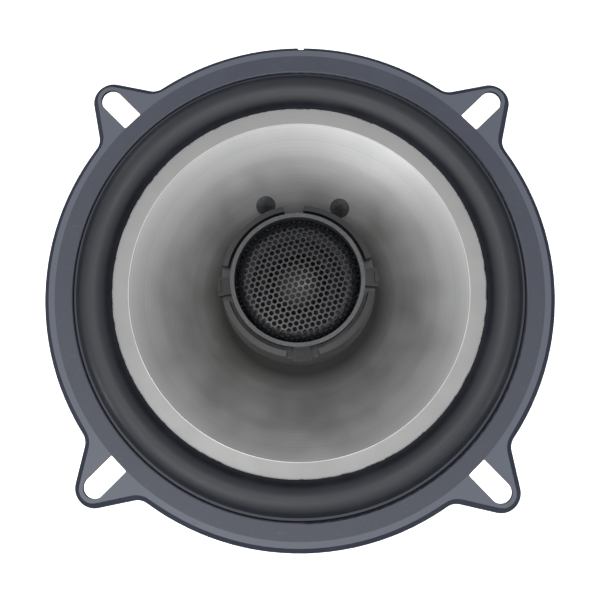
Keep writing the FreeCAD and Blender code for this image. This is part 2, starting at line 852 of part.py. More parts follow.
def tweeter_frame_ring():
    """The moulded ring that centres the cup and clamps the edge of the dome."""
    inner = tweeter_cup_inner + frame_ring_recess
    return lathe([
        (cup_outer_radius, frame_ring_z),
        (bezel_radius, frame_ring_z),
        (bezel_radius, dome_base_z),
        (inner, dome_base_z),
        (inner, cup_top_z),
        (cup_outer_radius, cup_top_z),
    ])


def tweeter_coil():
    low = dome_base_z - tweeter_coil_length
    return ring(tweeter_coil_radius, tweeter_coil_outer, low, dome_base_z)


def tweeter_dome():
    radius = tweeter_coil_outer
    ball = (radius ** 2 + dome_height ** 2) / (2 * dome_height)
    centre = vec(0, 0, dome_base_z + dome_height - ball)
    shell = Part.makeSphere(ball, centre).cut(Part.makeSphere(ball - dome_sheet, centre))
    return shell.common(ring(0, radius + 1, dome_base_z, dome_base_z + 2 * dome_height))


def tweeter_dome_edge():
    """The soft half roll and flat rim round the dome."""
    start = tweeter_coil_outer
    end = start + dome_edge_width
    rim = dome_rim_radius
    base = dome_base_z
    edges = []
    for z in (base, base + dome_sheet):
        crown = vec((start + end) / 2, 0, z + dome_edge_height)
        edges.append(Part.Arc(vec(start, 0, z), crown, vec(end, 0, z)).toShape())
        edges.append(Part.LineSegment(vec(end, 0, z), vec(rim, 0, z)).toShape())
    for radius in (start, rim):
        edges.append(Part.LineSegment(vec(radius, 0, base), vec(radius, 0, base + dome_sheet)).toShape())
    return spin(Part.Face(Part.Wire(Part.__sortEdges__(edges))))


# Terminals, leads and capacitor

def terminal_board():
    board = board_box(board_width, board_length, 0, board_thickness)
    upright = [edge for edge in board.Edges if edge.BoundBox.ZLength > board_thickness / 2]
    board = board.makeFillet(board_thickness / 2, upright)
    board = board.cut(board_holes(rivet_radius, board_rivet_places(), -1, board_thickness + 1))
    return on_board(board.cut(board_holes(lead_hole_radius, lead_hole_places(), -1, board_thickness + 1)))


def board_rivets():
    rivets = []
    for x, y in board_rivet_places():
        low = -sheet - board_pad_rise
        shank = Part.makeCylinder(rivet_radius, board_thickness - low, vec(x, y, low))
        head = Part.makeCylinder(rivet_head_radius, board_rivet_head, vec(x, y, board_thickness))
        top = [e for e in head.Edges if e.BoundBox.ZMin > board_thickness + board_rivet_head / 2]
        head = head.makeFillet(board_rivet_round, top)
        rivets.append(on_board(shank.fuse(head).removeSplitter()))
    return Part.makeCompound(rivets)


def terminal_blade(side):
    """A bent tag: a foot on the board and a push-on blade standing out from it."""
    x = side * blade_offset
    width = wide_blade if side > 0 else narrow_blade
    floor = board_thickness
    foot = Part.makeBox(width, blade_foot, blade_thickness, vec(x - width / 2, -blade_foot / 2, floor))
    upright_y = blade_foot / 2 - blade_thickness
    start = vec(x - width / 2, upright_y, floor)
    upright = Part.makeBox(width, blade_thickness, blade_height, start)
    tip = [e for e in upright.Edges if e.BoundBox.YLength > 0.1 and e.BoundBox.ZMin > floor + 1]
    upright = upright.makeChamfer(width * blade_tip_share, tip)
    hole_place = vec(x, upright_y - 1, floor + blade_height - blade_hole_drop)
    hole = Part.makeCylinder(blade_hole_radius, blade_thickness + 2, hole_place, vec(0, 1, 0))
    return largest_piece(on_board(foot.fuse(upright).removeSplitter().cut(hole)))


def board_point(x, y, height):
    return board_placement().multVec(vec(x, y, height))


def blade_foot_point(side, across, along):
    """A place in a blade's foot where a lead is soldered."""
    height = board_thickness + blade_thickness / 2
    return board_point(side * blade_offset + across, along, height)


def board_step(step):
    """A step from a point by a length up the wall and a height off the board."""
    return board_point(0, *step) - board_point(0, 0, 0)


def largest_piece(shape):
    return max(shape.Solids, key=lambda solid: solid.Volume)


def tinsel_lead(side, angle):
    """Braided lead from the back of the cone, through the arm, to the foot of its blade."""
    x = side * blade_offset
    start = polar(dot_reach, angle, cone_height(dot_reach))
    sag = polar(dot_reach + lead_sag_out, angle, start.z - lead_sag_drop)
    hole_in = board_point(x, -lead_hole_drop, -lead_under_board)
    hole_out = board_point(x, -lead_hole_drop, board_thickness + lead_over_board)
    end = blade_foot_point(side, -side * lead_solder_offset, 0)
    over = end + board_step(lead_loop)
    tube = smooth_tube([start, sag, hole_in, hole_out, over, end], tinsel_radius, lead_bend)
    return largest_piece(tube.cut(terminal_blade(side)).cut(cone()).cut(lead_glue_dots()))


def capacitor_place():
    """Where the capacitor's axis lies, under the landing beside the cup of the basket."""
    y = landing_inner_radius + sheet + capacitor_gap + capacitor_radius
    z = (landing_z - sheet + top_plate_z) / 2
    return y, z


def crossover_capacitor():
    """A small rolled can with a crimp near one end, lying along X."""
    y, z = capacitor_place()
    low_x = capacitor_middle_x - capacitor_length / 2
    crimp_x = low_x + capacitor_crimp_width
    x_axis = vec(1, 0, 0)
    can = Part.makeCylinder(capacitor_radius, capacitor_length, vec(low_x, y, z), x_axis)
    band = Part.makeCylinder(capacitor_radius + 1, capacitor_crimp_width, vec(crimp_x, y, z), x_axis)
    core_radius = capacitor_radius - capacitor_crimp
    core = Part.makeCylinder(core_radius, capacitor_crimp_width, vec(crimp_x, y, z), x_axis)
    return can.cut(band.cut(core))


def capacitor_adhesive(frame):
    """The bed of hot glue between the capacitor and the cup of the basket."""
    y, z = capacitor_place()
    length = capacitor_length / 2
    low_x = capacitor_middle_x - length / 2
    bed = Part.makeBox(length, y, capacitor_radius, vec(low_x, 0, z - capacitor_radius / 2))
    can = Part.makeCylinder(capacitor_radius, length, vec(low_x, y, z), vec(1, 0, 0))
    inside_wall = (floor_radius + landing_inner_radius + sheet) / 2
    return largest_piece(bed.cut(can).cut(ring(0, inside_wall, floor_z, landing_z)).cut(frame))


def tweeter_lead(side):
    """One of the pair of wires from the tweeter, down the post and along the groove."""
    x = side * (wire_radius + wire_pair_gap / 2)
    groove_z = rest_z + wire_groove_depth - wire_radius - wire_groove_gap
    edge_y = magnet_radius + wire_radius + wire_magnet_gap
    top = vec(x, 0, pod_floor_z + tweeter_cup_rise - wire_pair_gap)
    points = [top, vec(x, 0, groove_z), vec(x, edge_y, groove_z)]
    if side > 0:
        across, along = wire_solder_place
        end = blade_foot_point(-1, -across, along)
        points += [vec(9.0, edge_y + 0.8, magnet_z - 4), vec(10.0, edge_y + 3.5, floor_z - 1)]
        points += [end + board_step(wire_loop), end]
    else:
        y, z = capacitor_place()
        end_x = capacitor_middle_x - capacitor_length / 2
        points += [vec(-10.5, edge_y + 0.8, magnet_z - 5), vec(end_x - 5, edge_y + 0.7, floor_z - 4)]
        points += [vec(end_x - 2 * wire_bend, y, z), vec(end_x, y, z)]
    return largest_piece(smooth_tube(points, wire_radius, wire_bend).cut(terminal_blade(-1)))


def capacitor_lead():
    """The wire from the capacitor to the wide blade."""
    y, z = capacitor_place()
    end_x = capacitor_middle_x + capacitor_length / 2
    end = blade_foot_point(1, *wire_solder_place)
    points = [vec(end_x, y, z), vec(end_x + capacitor_tail, y, z)]
    points += [vec(end_x + capacitor_tail / 2, y + 2 * capacitor_tail, z), end + board_step(wire_loop), end]
    return largest_piece(smooth_tube(points, wire_radius, wire_bend).cut(terminal_blade(1)))


basket_shape = basket()

nodes = {
    "basket_frame": basket_shape,
    "basket_rivets": basket_rivets(),
    "surround": surround(),
    "spider": spider(),
    "cone": cone(),
    "cone_edge_bead": cone_edge_bead(),
    "lead_glue_dots": lead_glue_dots(),
    "voice_coil_former": voice_coil_former(),
    "voice_coil_winding": voice_coil_winding(),
    "top_plate": top_plate(),
    "ferrite_magnet": ferrite_magnet(),
    "pole_yoke": pole_yoke(),
    "tweeter_post": tweeter_post(),
    "post_washer": post_washer(),
    "post_nut": post_nut(),
    "tweeter_pod": tweeter_pod(),
    "tweeter_bezel": tweeter_bezel(),
    "tweeter_grille": tweeter_grille(),
    "tweeter_frame_ring": tweeter_frame_ring(),
    "tweeter_yoke": tweeter_yoke(),
    "tweeter_magnet": tweeter_magnet(),
    "tweeter_pole_cap": tweeter_pole_cap(),
    "tweeter_coil": tweeter_coil(),
    "tweeter_dome": tweeter_dome(),
    "tweeter_dome_edge": tweeter_dome_edge(),
    "terminal_board": terminal_board(),
    "board_rivets": board_rivets(),
    "terminal_blade_positive": terminal_blade(1),
    "terminal_blade_negative": terminal_blade(-1),
    "tinsel_lead_positive": tinsel_lead(1, dot_angles_deg[0]),
    "tinsel_lead_negative": tinsel_lead(-1, dot_angles_deg[1]),
    "crossover_capacitor": crossover_capacitor(),
    "capacitor_adhesive": capacitor_adhesive(basket_shape),
    "capacitor_lead": capacitor_lead(),
    "tweeter_lead_positive": tweeter_lead(-1),
    "tweeter_lead_negative": tweeter_lead(1),
}

os.makedirs("parts", exist_ok=True)
for name, shape in nodes.items():
    solids = shape.Solids
    clean = solids[0] if len(solids) == 1 else Part.makeCompound(solids)
    clean.exportStep(f"parts/{name}.step")
    box = clean.BoundBox
    print(f"{name:26s} solids {len(solids)}  valid {clean.isValid()}  volume {clean.Volume:10.1f}"
          f"  z {box.ZMin:7.2f} {box.ZMax:7.2f}")
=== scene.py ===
# Coaxial car speaker: finishes, the fine pieces that the solid model leaves plain, camera and light.
import math

import bmesh
import bpy
from mathutils import Matrix, Vector, noise
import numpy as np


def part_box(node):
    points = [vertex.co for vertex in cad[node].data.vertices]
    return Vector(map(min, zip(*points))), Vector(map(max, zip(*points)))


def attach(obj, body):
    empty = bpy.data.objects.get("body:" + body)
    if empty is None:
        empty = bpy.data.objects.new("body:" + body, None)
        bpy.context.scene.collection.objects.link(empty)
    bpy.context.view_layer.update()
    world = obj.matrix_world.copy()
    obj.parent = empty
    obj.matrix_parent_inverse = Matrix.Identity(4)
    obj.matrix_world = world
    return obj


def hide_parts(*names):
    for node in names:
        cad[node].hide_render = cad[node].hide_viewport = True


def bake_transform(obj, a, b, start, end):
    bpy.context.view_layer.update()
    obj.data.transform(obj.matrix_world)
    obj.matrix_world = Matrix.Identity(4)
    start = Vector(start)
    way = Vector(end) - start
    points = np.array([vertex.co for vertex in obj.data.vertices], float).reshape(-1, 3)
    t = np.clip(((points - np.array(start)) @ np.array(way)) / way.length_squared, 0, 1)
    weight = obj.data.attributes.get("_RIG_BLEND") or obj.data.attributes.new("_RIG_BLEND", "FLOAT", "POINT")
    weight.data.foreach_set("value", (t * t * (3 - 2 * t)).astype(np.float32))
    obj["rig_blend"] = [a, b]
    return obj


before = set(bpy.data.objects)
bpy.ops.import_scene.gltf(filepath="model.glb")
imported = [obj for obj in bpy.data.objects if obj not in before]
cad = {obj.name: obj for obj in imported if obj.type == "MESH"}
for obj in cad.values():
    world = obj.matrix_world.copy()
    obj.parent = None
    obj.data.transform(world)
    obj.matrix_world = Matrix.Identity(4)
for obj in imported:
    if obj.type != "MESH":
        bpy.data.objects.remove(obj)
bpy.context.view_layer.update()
mm = 0.001
print("frame loaded:", len(cad), "CAD nodes")


def toLinear(hexCode):
    # sRGB hex to the linear colour that the shader wants
    channels = [int(hexCode[i:i + 2], 16) / 255 for i in (0, 2, 4)]
    linear = [c / 12.92 if c <= 0.04045 else ((c + 0.055) / 1.055) ** 2.4 for c in channels]
    return (*linear, 1.0)


def addNode(tree, kind, inputs=None, **settings):
    # one node with its settings; an input is a value, or another node's output to link
    node = tree.nodes.new(kind)
    for name, value in settings.items():
        setattr(node, name, value)
    for socket, value in (inputs or {}).items():
        if isinstance(value, bpy.types.NodeSocket):
            tree.links.new(value, node.inputs[socket])
        else:
            node.inputs[socket].default_value = value
    return node


def newMaterial(name, **shaderValues):
    material = bpy.data.materials.new(name)
    material.use_nodes = True
    tree = material.node_tree
    shader = tree.nodes["Principled BSDF"]
    for socket, value in shaderValues.items():
        shader.inputs[socket.replace("_", " ")].default_value = value
    place = addNode(tree, "ShaderNodeTexCoord").outputs["Object"]
    return material, tree, shader, place


def mixColours(tree, factor, first, second):
    node = addNode(tree, "ShaderNodeMix", {0: factor, 6: first, 7: second}, data_type="RGBA")
    return node.outputs[2]


def stretch(tree, value, low, high, toLow, toHigh):
    node = addNode(tree, "ShaderNodeMapRange", {0: value, 1: low, 2: high, 3: toLow, 4: toHigh})
    return node.outputs[0]


def addUp(tree, *values):
    total = values[0]
    for value in values[1:]:
        total = addNode(tree, "ShaderNodeMath", {0: total, 1: value}, operation="ADD").outputs[0]
    return total


def grain(tree, place, sizeMm, detail=3.0, roughness=0.5):
    # noise whose lumps are about sizeMm across
    inputs = {"Vector": place, "Scale": 1000 / sizeMm, "Detail": detail, "Roughness": roughness}
    return addNode(tree, "ShaderNodeTexNoise", inputs).outputs["Fac"]


def relief(tree, shader, height, depthMm):
    # height 0..1 stands depthMm proud of the surface
    bump = addNode(tree, "ShaderNodeBump", {"Height": height, "Distance": depthMm * mm, "Strength": 1.0})
    tree.links.new(bump.outputs[0], shader.inputs["Normal"])


def radiusOf(tree, place):
    # distance from the speaker's axis
    flat = addNode(tree, "ShaderNodeVectorMath", {0: place, 1: (1, 1, 0)}, operation="MULTIPLY").outputs[0]
    return addNode(tree, "ShaderNodeVectorMath", {0: flat}, operation="LENGTH").outputs["Value"]


def spunMarks(tree, place, pitchMm, detail=2.0):
    # noise that changes only with the distance from the axis: tool marks of a lathe
    radius = radiusOf(tree, place)
    return addNode(tree, "ShaderNodeTexNoise", {"W": radius, "Scale": 1000 / pitchMm, "Detail": detail},
                   noise_dimensions="1D").outputs["Fac"]


def finishMesh(name, mesh, material, sharpDegrees=32):
    # smooth shading with hard edges kept
    build = bmesh.new()
    build.from_mesh(mesh)
    bmesh.ops.recalc_face_normals(build, faces=build.faces)
    for face in build.faces:
        face.smooth = True
    for edge in build.edges:
        edge.smooth = len(edge.link_faces) == 2 and edge.calc_face_angle(0) < math.radians(sharpDegrees)
    build.to_mesh(mesh)
    build.free()
    piece = bpy.data.objects.new(name, mesh)
    bpy.context.scene.collection.objects.link(piece)
    piece.data.materials.append(material)
    return piece


def arcPoints(centre, radius, fromDegrees, toDegrees, steps):
    # points in the (radius, height) plane, millimetres
    points = []
    for step in range(steps + 1):
        angle = math.radians(fromDegrees + (toDegrees - fromDegrees) * step / steps)
        points.append((centre[0] + radius * math.cos(angle), centre[1] + radius * math.sin(angle)))
    return points


def turnedMesh(name, profile, segments, wobble=None):
    # a closed profile in millimetres, turned once round the axis
    mesh = bpy.data.meshes.new(name)
    vertices, faces = [], []
    count = len(profile)
    for segment in range(segments):
        angle = 2 * math.pi * segment / segments
        for index, (radius, height) in enumerate(profile):
            if wobble:
                radius, height = wobble(index, radius, height, angle)
            vertices.append((radius * math.cos(angle) * mm, radius * math.sin(angle) * mm, height * mm))
    for segment in range(segments):
        after = (segment + 1) % segments
        for index in range(count):
            follow = (index + 1) % count
            faces.append((segment * count + index, after * count + index,
                          after * count + follow, segment * count + follow))
    mesh.from_pydata(vertices, [], faces)
    return mesh


def blendByRadius(piece, outerMm, innerMm, bodies):
    # held by the first body outside outerMm and by the second inside innerMm
    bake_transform(piece, *bodies, start=(outerMm * mm, 0, 0), end=(innerMm * mm, 0, 0))
    weights = piece.data.attributes["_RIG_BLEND"]
    for vertex in piece.data.vertices:
        share = (outerMm - math.hypot(vertex.co.x, vertex.co.y) / mm) / (outerMm - innerMm)
        share = min(1.0, max(0.0, share))
        weights.data[vertex.index].value = share * share * (3 - 2 * share)


def tubeAlong(points, radius, sides):
    # a closed round tube through the points, all in metres
    vertices, faces = [], []
    normal = (points[1] - points[0]).orthogonal().normalized()
    for index, point in enumerate(points):
        ahead = points[min(index + 1, len(points) - 1)] - points[max(index - 1, 0)]
        ahead.normalize()
        normal = (normal - ahead * normal.dot(ahead)).normalized()
        side = ahead.cross(normal)
        for turn in range(sides):
            angle = 2 * math.pi * turn / sides
            vertices.append(point + (normal * math.cos(angle) + side * math.sin(angle)) * radius)
    for ring in range(len(points) - 1):
        for turn in range(sides):
            after = (turn + 1) % sides
            faces.append((ring * sides + turn, ring * sides + after,
                          (ring + 1) * sides + after, (ring + 1) * sides + turn))
    faces.append(tuple(range(sides)))
    faces.append(tuple(range((len(points) - 1) * sides, len(points) * sides)))
    return vertices, faces


def smoothRoute(points, order, resolution):
    # the NURBS line with these control points, in millimetres, as points in metres
    curve = bpy.data.curves.new("route", "CURVE")
    curve.dimensions = "3D"
    curve.resolution_u = resolution
    spline = curve.splines.new("NURBS")
    spline.points.add(len(points) - 1)
    for target, point in zip(spline.points, points):
        target.co = (point[0] * mm, point[1] * mm, point[2] * mm, 1)
    spline.order_u = order
    spline.use_endpoint_u = True
    holder = bpy.data.objects.new("route", curve)
    line = bpy.data.meshes.new_from_object(holder)
    route = [vertex.co.copy() for vertex in line.vertices]
    bpy.data.objects.remove(holder)
    bpy.data.curves.remove(curve)
    bpy.data.meshes.remove(line)
    return route


def powderCoatedSteel():
    # epoxy powder coat on pressed steel, oven cured: satin slate grey with a very fine orange peel
    # and a slightly chalky, uneven sheen from handling
    # the lighter strip colour is a painted highlight
    look = {"paint": "2e3340", "worn": "464b57", "lighterTone": "4c515c", "creaseMm": 61.9, "creaseBlurMm": 0.1,
            "levelNormal": (0.9, 0.98), "peelMm": 0.55, "peelDepthMm": 0.012, "patchMm": 14.0, "dustMm": 0.9}
    material, tree, shader, place = newMaterial("powderCoatedSteel", Roughness=0.42, IOR=1.5)
    patches = grain(tree, place, look["patchMm"], 4.0, 0.6)
    dust = grain(tree, place, look["dustMm"], 2.0)
    speckle = stretch(tree, dust, 0.62, 0.74, 0.0, 0.35)
    tone = stretch(tree, patches, 0.35, 0.7, 0.0, 0.22)
    amount = addUp(tree, tone, speckle)
    paint = mixColours(tree, amount, toLinear(look["paint"]), toLinear(look["worn"]))
    # painted highlight: the level strip outside the crease is coloured lighter, as if it caught more light,
    # and the rolled edge beyond it is not
    crease, blur = look["creaseMm"] * mm, look["creaseBlurMm"] * mm
    outside = stretch(tree, radiusOf(tree, place), crease - blur, crease + blur, 0.0, 1.0)
    facing = addNode(tree, "ShaderNodeNewGeometry").outputs["Normal"]
    upright = addNode(tree, "ShaderNodeSeparateXYZ", {0: facing}).outputs["Z"]
    level = stretch(tree, upright, *look["levelNormal"], 0.0, 1.0)
    paintedStripHighlight = addNode(tree, "ShaderNodeMath", {0: outside, 1: level}, operation="MULTIPLY").outputs[0]
    colour = mixColours(tree, paintedStripHighlight, paint, toLinear(look["lighterTone"]))
    tree.links.new(colour, shader.inputs["Base Color"])
    tree.links.new(stretch(tree, patches, 0.3, 0.75, 0.34, 0.44), shader.inputs["Roughness"])
    relief(tree, shader, grain(tree, place, look["peelMm"], 2.0), look["peelDepthMm"])
    return material


def butylRubber():
    # moulded butyl rubber: blue-black and matt, with the fine bloom and lint that rubber picks up
    look = {"rubber": "11141d", "bloom": "232834", "skinMm": 0.35, "bloomMm": 9.0, "lintMm": 0.5,
            "skinDepthMm": 0.01}
    material, tree, shader, place = newMaterial("butylRubber", Roughness=0.4, IOR=1.52)
    bloom = grain(tree, place, look["bloomMm"], 5.0, 0.65)
    lint = stretch(tree, grain(tree, place, look["lintMm"], 1.0), 0.68, 0.78, 0.0, 0.5)
    amount = addUp(tree, stretch(tree, bloom, 0.4, 0.75, 0.0, 0.3), lint)
    colour = mixColours(tree, amount, toLinear(look["rubber"]), toLinear(look["bloom"]))
    tree.links.new(colour, shader.inputs["Base Color"])
    tree.links.new(stretch(tree, bloom, 0.35, 0.7, 0.36, 0.46), shader.inputs["Roughness"])
    relief(tree, shader, grain(tree, place, look["skinMm"], 2.0), look["skinDepthMm"])
    return material


def spunAluminium():
    # aluminium foil spun to a cone and lacquered: silver grey, fine marks run round it and draw the
    # light out into radial fans
    # the darker foil colour near the pod is painted shade
    look = {"metal": "cfcfcd", "dull": "b9babc", "edge": "8a8a89", "edgeMm": 43.1, "edgeBlurMm": 0.1,
            "neckShade": "6e6e6e", "neckMm": (21.5, 26.5), "markMm": 0.35, "markDepthMm": 0.006, "bandMm": 2.6,
            "smearMm": 11.0}
    material, tree, shader, place = newMaterial("spunAluminium", Metallic=1.0, Roughness=0.4, Anisotropic=0.6,
                                                Anisotropic_Rotation=0.25)
    fine = spunMarks(tree, place, look["markMm"], 3.0)
    bands = spunMarks(tree, place, look["bandMm"], 2.0)
    smear = grain(tree, place, look["smearMm"], 3.0, 0.55)
    marks = addNode(tree, "ShaderNodeMath", {0: fine, 1: smear}, operation="MULTIPLY").outputs[0]
    amount = addUp(tree, stretch(tree, marks, 0.12, 0.4, 0.0, 0.55),
                   stretch(tree, bands, 0.4, 0.7, 0.0, 0.25))
    silver = mixColours(tree, amount, toLinear(look["metal"]), toLinear(look["dull"]))
    # the flat band at the cone's edge is pressed matt and greyer
    edge, blur = look["edgeMm"] * mm, look["edgeBlurMm"] * mm
    band = stretch(tree, radiusOf(tree, place), edge - blur, edge + blur, 0.0, 1.0)
    flat = mixColours(tree, band, silver, toLinear(look["edge"]))
    # painted shade: the foil is coloured darker near the tweeter pod, where the pod shades and hides it
    inner, outer = look["neckMm"]
    neckShade = stretch(tree, radiusOf(tree, place), inner * mm, outer * mm, 1.0, 0.0)
    colour = mixColours(tree, neckShade, flat, toLinear(look["neckShade"]))
    tree.links.new(colour, shader.inputs["Base Color"])
    tree.links.new(stretch(tree, smear, 0.3, 0.7, 0.36, 0.44), shader.inputs["Roughness"])
    tangent = addNode(tree, "ShaderNodeTangent", direction_type="RADIAL", axis="Z")
    tree.links.new(tangent.outputs[0], shader.inputs["Tangent"])
    relief(tree, shader, fine, look["markDepthMm"])
    return material


def clearContactAdhesive():
    # a hand-laid bead of clear contact adhesive, cured: pale, glossy and lumpy
    look = {"bead": "8d9093", "dirt": "3a3c40", "lumpMm": 1.3, "lumpDepthMm": 0.12, "dirtMm": 4.0}
    material, tree, shader, place = newMaterial("clearContactAdhesive", Roughness=0.22, IOR=1.47)
    lumps = grain(tree, place, look["lumpMm"], 2.0)
    dirt = stretch(tree, grain(tree, place, look["dirtMm"], 4.0, 0.7), 0.5, 0.62, 0.0, 1.0)
    tree.links.new(mixColours(tree, dirt, toLinear(look["bead"]), toLinear(look["dirt"])),
                   shader.inputs["Base Color"])
    relief(tree, shader, lumps, look["lumpDepthMm"])
    return material


def blackRubberAdhesive():
    # solvent rubber adhesive, dropped on and shrunk as it dried: black, satin, softly dimpled
    look = {"black": "0d0e11", "grey": "1a1c20", "dimpleMm": 1.1, "dimpleDepthMm": 0.25}
    material, tree, shader, place = newMaterial("blackRubberAdhesive", Roughness=0.5, IOR=1.5)
    dimples = grain(tree, place, look["dimpleMm"], 3.0)
    colour = mixColours(tree, dimples, toLinear(look["black"]), toLinear(look["grey"]))
    tree.links.new(colour, shader.inputs["Base Color"])
    relief(tree, shader, dimples, look["dimpleDepthMm"])
    return material


def weaveHeight(tree, place, threadMm):
    # plain weave: two sets of threads that pass over each other by turns
    parts = addNode(tree, "ShaderNodeSeparateXYZ", {0: place})
    turns = math.pi / (threadMm * mm)
    waves = []
    for axis in ("X", "Y"):
        angle = addNode(tree, "ShaderNodeMath", {0: parts.outputs[axis], 1: turns}, operation="MULTIPLY")
        waves.append(addNode(tree, "ShaderNodeMath", {0: angle.outputs[0]}, operation="SINE").outputs[0])
    crossing = addNode(tree, "ShaderNodeMath", {0: waves[0], 1: waves[1]}, operation="MULTIPLY").outputs[0]
    return stretch(tree, crossing, -1.0, 1.0, 0.0, 1.0)


def resinCotton():
    # woven cotton dipped in phenolic resin and hot pressed: mustard yellow, dry, threads standing out
    look = {"thread": "b98a3a", "gap": "6a4a1c", "threadMm": 0.45, "threadDepthMm": 0.1, "stainMm": 5.0}
    material, tree, shader, place = newMaterial("resinCotton", Roughness=0.72, IOR=1.5)
    weave = weaveHeight(tree, place, look["threadMm"])
    stain = stretch(tree, grain(tree, place, look["stainMm"], 4.0), 0.35, 0.7, -0.15, 0.25)
    amount = addUp(tree, stretch(tree, weave, 0.25, 0.6, 1.0, 0.0), stain)
    tree.links.new(mixColours(tree, amount, toLinear(look["thread"]), toLinear(look["gap"])),
                   shader.inputs["Base Color"])
    relief(tree, shader, weave, look["threadDepthMm"])
    return material


def dampedCambric():
    # thin cloth pressed to a half roll and brushed with a damping coat: dark and soft
    look = {"thread": "1b1c1f", "gap": "0d0e0f", "threadMm": 0.3, "threadDepthMm": 0.04}
    material, tree, shader, place = newMaterial("dampedCambric", Roughness=0.75, IOR=1.5)
    weave = weaveHeight(tree, place, look["threadMm"])
    colour = mixColours(tree, weave, toLinear(look["gap"]), toLinear(look["thread"]))
    tree.links.new(colour, shader.inputs["Base Color"])
    relief(tree, shader, weave, look["threadDepthMm"])
    return material


def polyimideFilm():
    # amber polyimide film, wound and bonded: clear brown gloss with faint wrap lines
    look = {"film": "8a4a12", "glue": "5a2c0a", "streakMm": 3.0}
    material, tree, shader, place = newMaterial("polyimideFilm", Roughness=0.2, IOR=1.7, Coat_Weight=0.3)
    streak = grain(tree, place, look["streakMm"], 4.0)
    tree.links.new(mixColours(tree, streak, toLinear(look["film"]), toLinear(look["glue"])),
                   shader.inputs["Base Color"])
    tree.links.new(stretch(tree, streak, 0.3, 0.7, 0.15, 0.3), shader.inputs["Roughness"])
    return material


def enamelledCopper():
    # enamelled copper wire in close turns: red-brown metal, each turn a thin bright line
    look = {"copper": "b5622f", "gap": "4e2410", "turnMm": 0.25, "turnDepthMm": 0.08}
    material, tree, shader, place = newMaterial("enamelledCopper", Metallic=1.0, Roughness=0.28)
    height = addNode(tree, "ShaderNodeSeparateXYZ", {0: place}).outputs["Z"]
    angle = addNode(tree, "ShaderNodeMath", {0: height, 1: 2 * math.pi / (look["turnMm"] * mm)},
                    operation="MULTIPLY").outputs[0]
    wave = addNode(tree, "ShaderNodeMath", {0: angle}, operation="SINE").outputs[0]
    turns = stretch(tree, wave, -1.0, 1.0, 0.0, 1.0)
    tree.links.new(mixColours(tree, turns, toLinear(look["gap"]), toLinear(look["copper"])),
                   shader.inputs["Base Color"])
    relief(tree, shader, turns, look["turnDepthMm"])
    return material


def zincPlate():
    # bright zinc plate on turned steel: cool silver with a faint blue and yellow cast, light scuffs
    look = {"zinc": "b9bcc0", "passivated": "a8a58f", "castMm": 16.0, "scuffMm": 1.6, "turningMm": 0.3,
            "turningDepthMm": 0.004}
    material, tree, shader, place = newMaterial("zincPlate", Metallic=1.0, Roughness=0.3)
    cast = grain(tree, place, look["castMm"], 3.0)
    scuff = stretch(tree, grain(tree, place, look["scuffMm"], 6.0, 0.75), 0.4, 0.75, 0.22, 0.46)
    colour = mixColours(tree, stretch(tree, cast, 0.4, 0.65, 0.0, 0.8), toLinear(look["zinc"]),
                        toLinear(look["passivated"]))
    tree.links.new(colour, shader.inputs["Base Color"])
    tree.links.new(scuff, shader.inputs["Roughness"])
    relief(tree, shader, spunMarks(tree, place, look["turningMm"]), look["turningDepthMm"])
    return material


def groundFerrite():
    # sintered strontium ferrite, faces ground and sides as fired: charcoal with grit and paler dust
    look = {"ferrite": "26272a", "dust": "4a4b4e", "dustMm": 7.0, "gritMm": 0.3, "gritDepthMm": 0.06,
            "chipMm": 2.4}
    material, tree, shader, place = newMaterial("groundFerrite", Roughness=0.62, IOR=1.9)
    grit = grain(tree, place, look["gritMm"], 4.0, 0.7)
    dusty = stretch(tree, grain(tree, place, look["dustMm"], 5.0, 0.7), 0.45, 0.7, 0.0, 0.8)
    pits = addNode(tree, "ShaderNodeTexVoronoi", {"Vector": place, "Scale": 1000 / look["chipMm"]})
    chips = stretch(tree, pits.outputs["Distance"], 0.04, 0.12, 0.0, 1.0)
    tree.links.new(mixColours(tree, dusty, toLinear(look["ferrite"]), toLinear(look["dust"])),
                   shader.inputs["Base Color"])
    height = addNode(tree, "ShaderNodeMath", {0: grit, 1: chips}, operation="MULTIPLY").outputs[0]
    relief(tree, shader, height, look["gritDepthMm"])
    return material


def mouldedAbs():
    # injection-moulded black ABS: fine spark texture from the tool, semi-matt, a little lint in it
    look = {"black": "121315", "grey": "232427", "sparkMm": 0.28, "sparkDepthMm": 0.012, "lintMm": 0.6,
            "flowMm": 8.0}
    material, tree, shader, place = newMaterial("mouldedAbs", Roughness=0.4, IOR=1.53)
    spark = grain(tree, place, look["sparkMm"], 2.0)
    lint = stretch(tree, grain(tree, place, look["lintMm"], 1.0), 0.7, 0.8, 0.0, 0.7)
    flow = stretch(tree, grain(tree, place, look["flowMm"], 3.0), 0.35, 0.7, 0.0, 0.3)
    colour = mixColours(tree, addUp(tree, flow, lint), toLinear(look["black"]), toLinear(look["grey"]))
    tree.links.new(colour, shader.inputs["Base Color"])
    tree.links.new(stretch(tree, flow, 0.0, 0.3, 0.34, 0.46), shader.inputs["Roughness"])
    relief(tree, shader, spark, look["sparkDepthMm"])
    return material


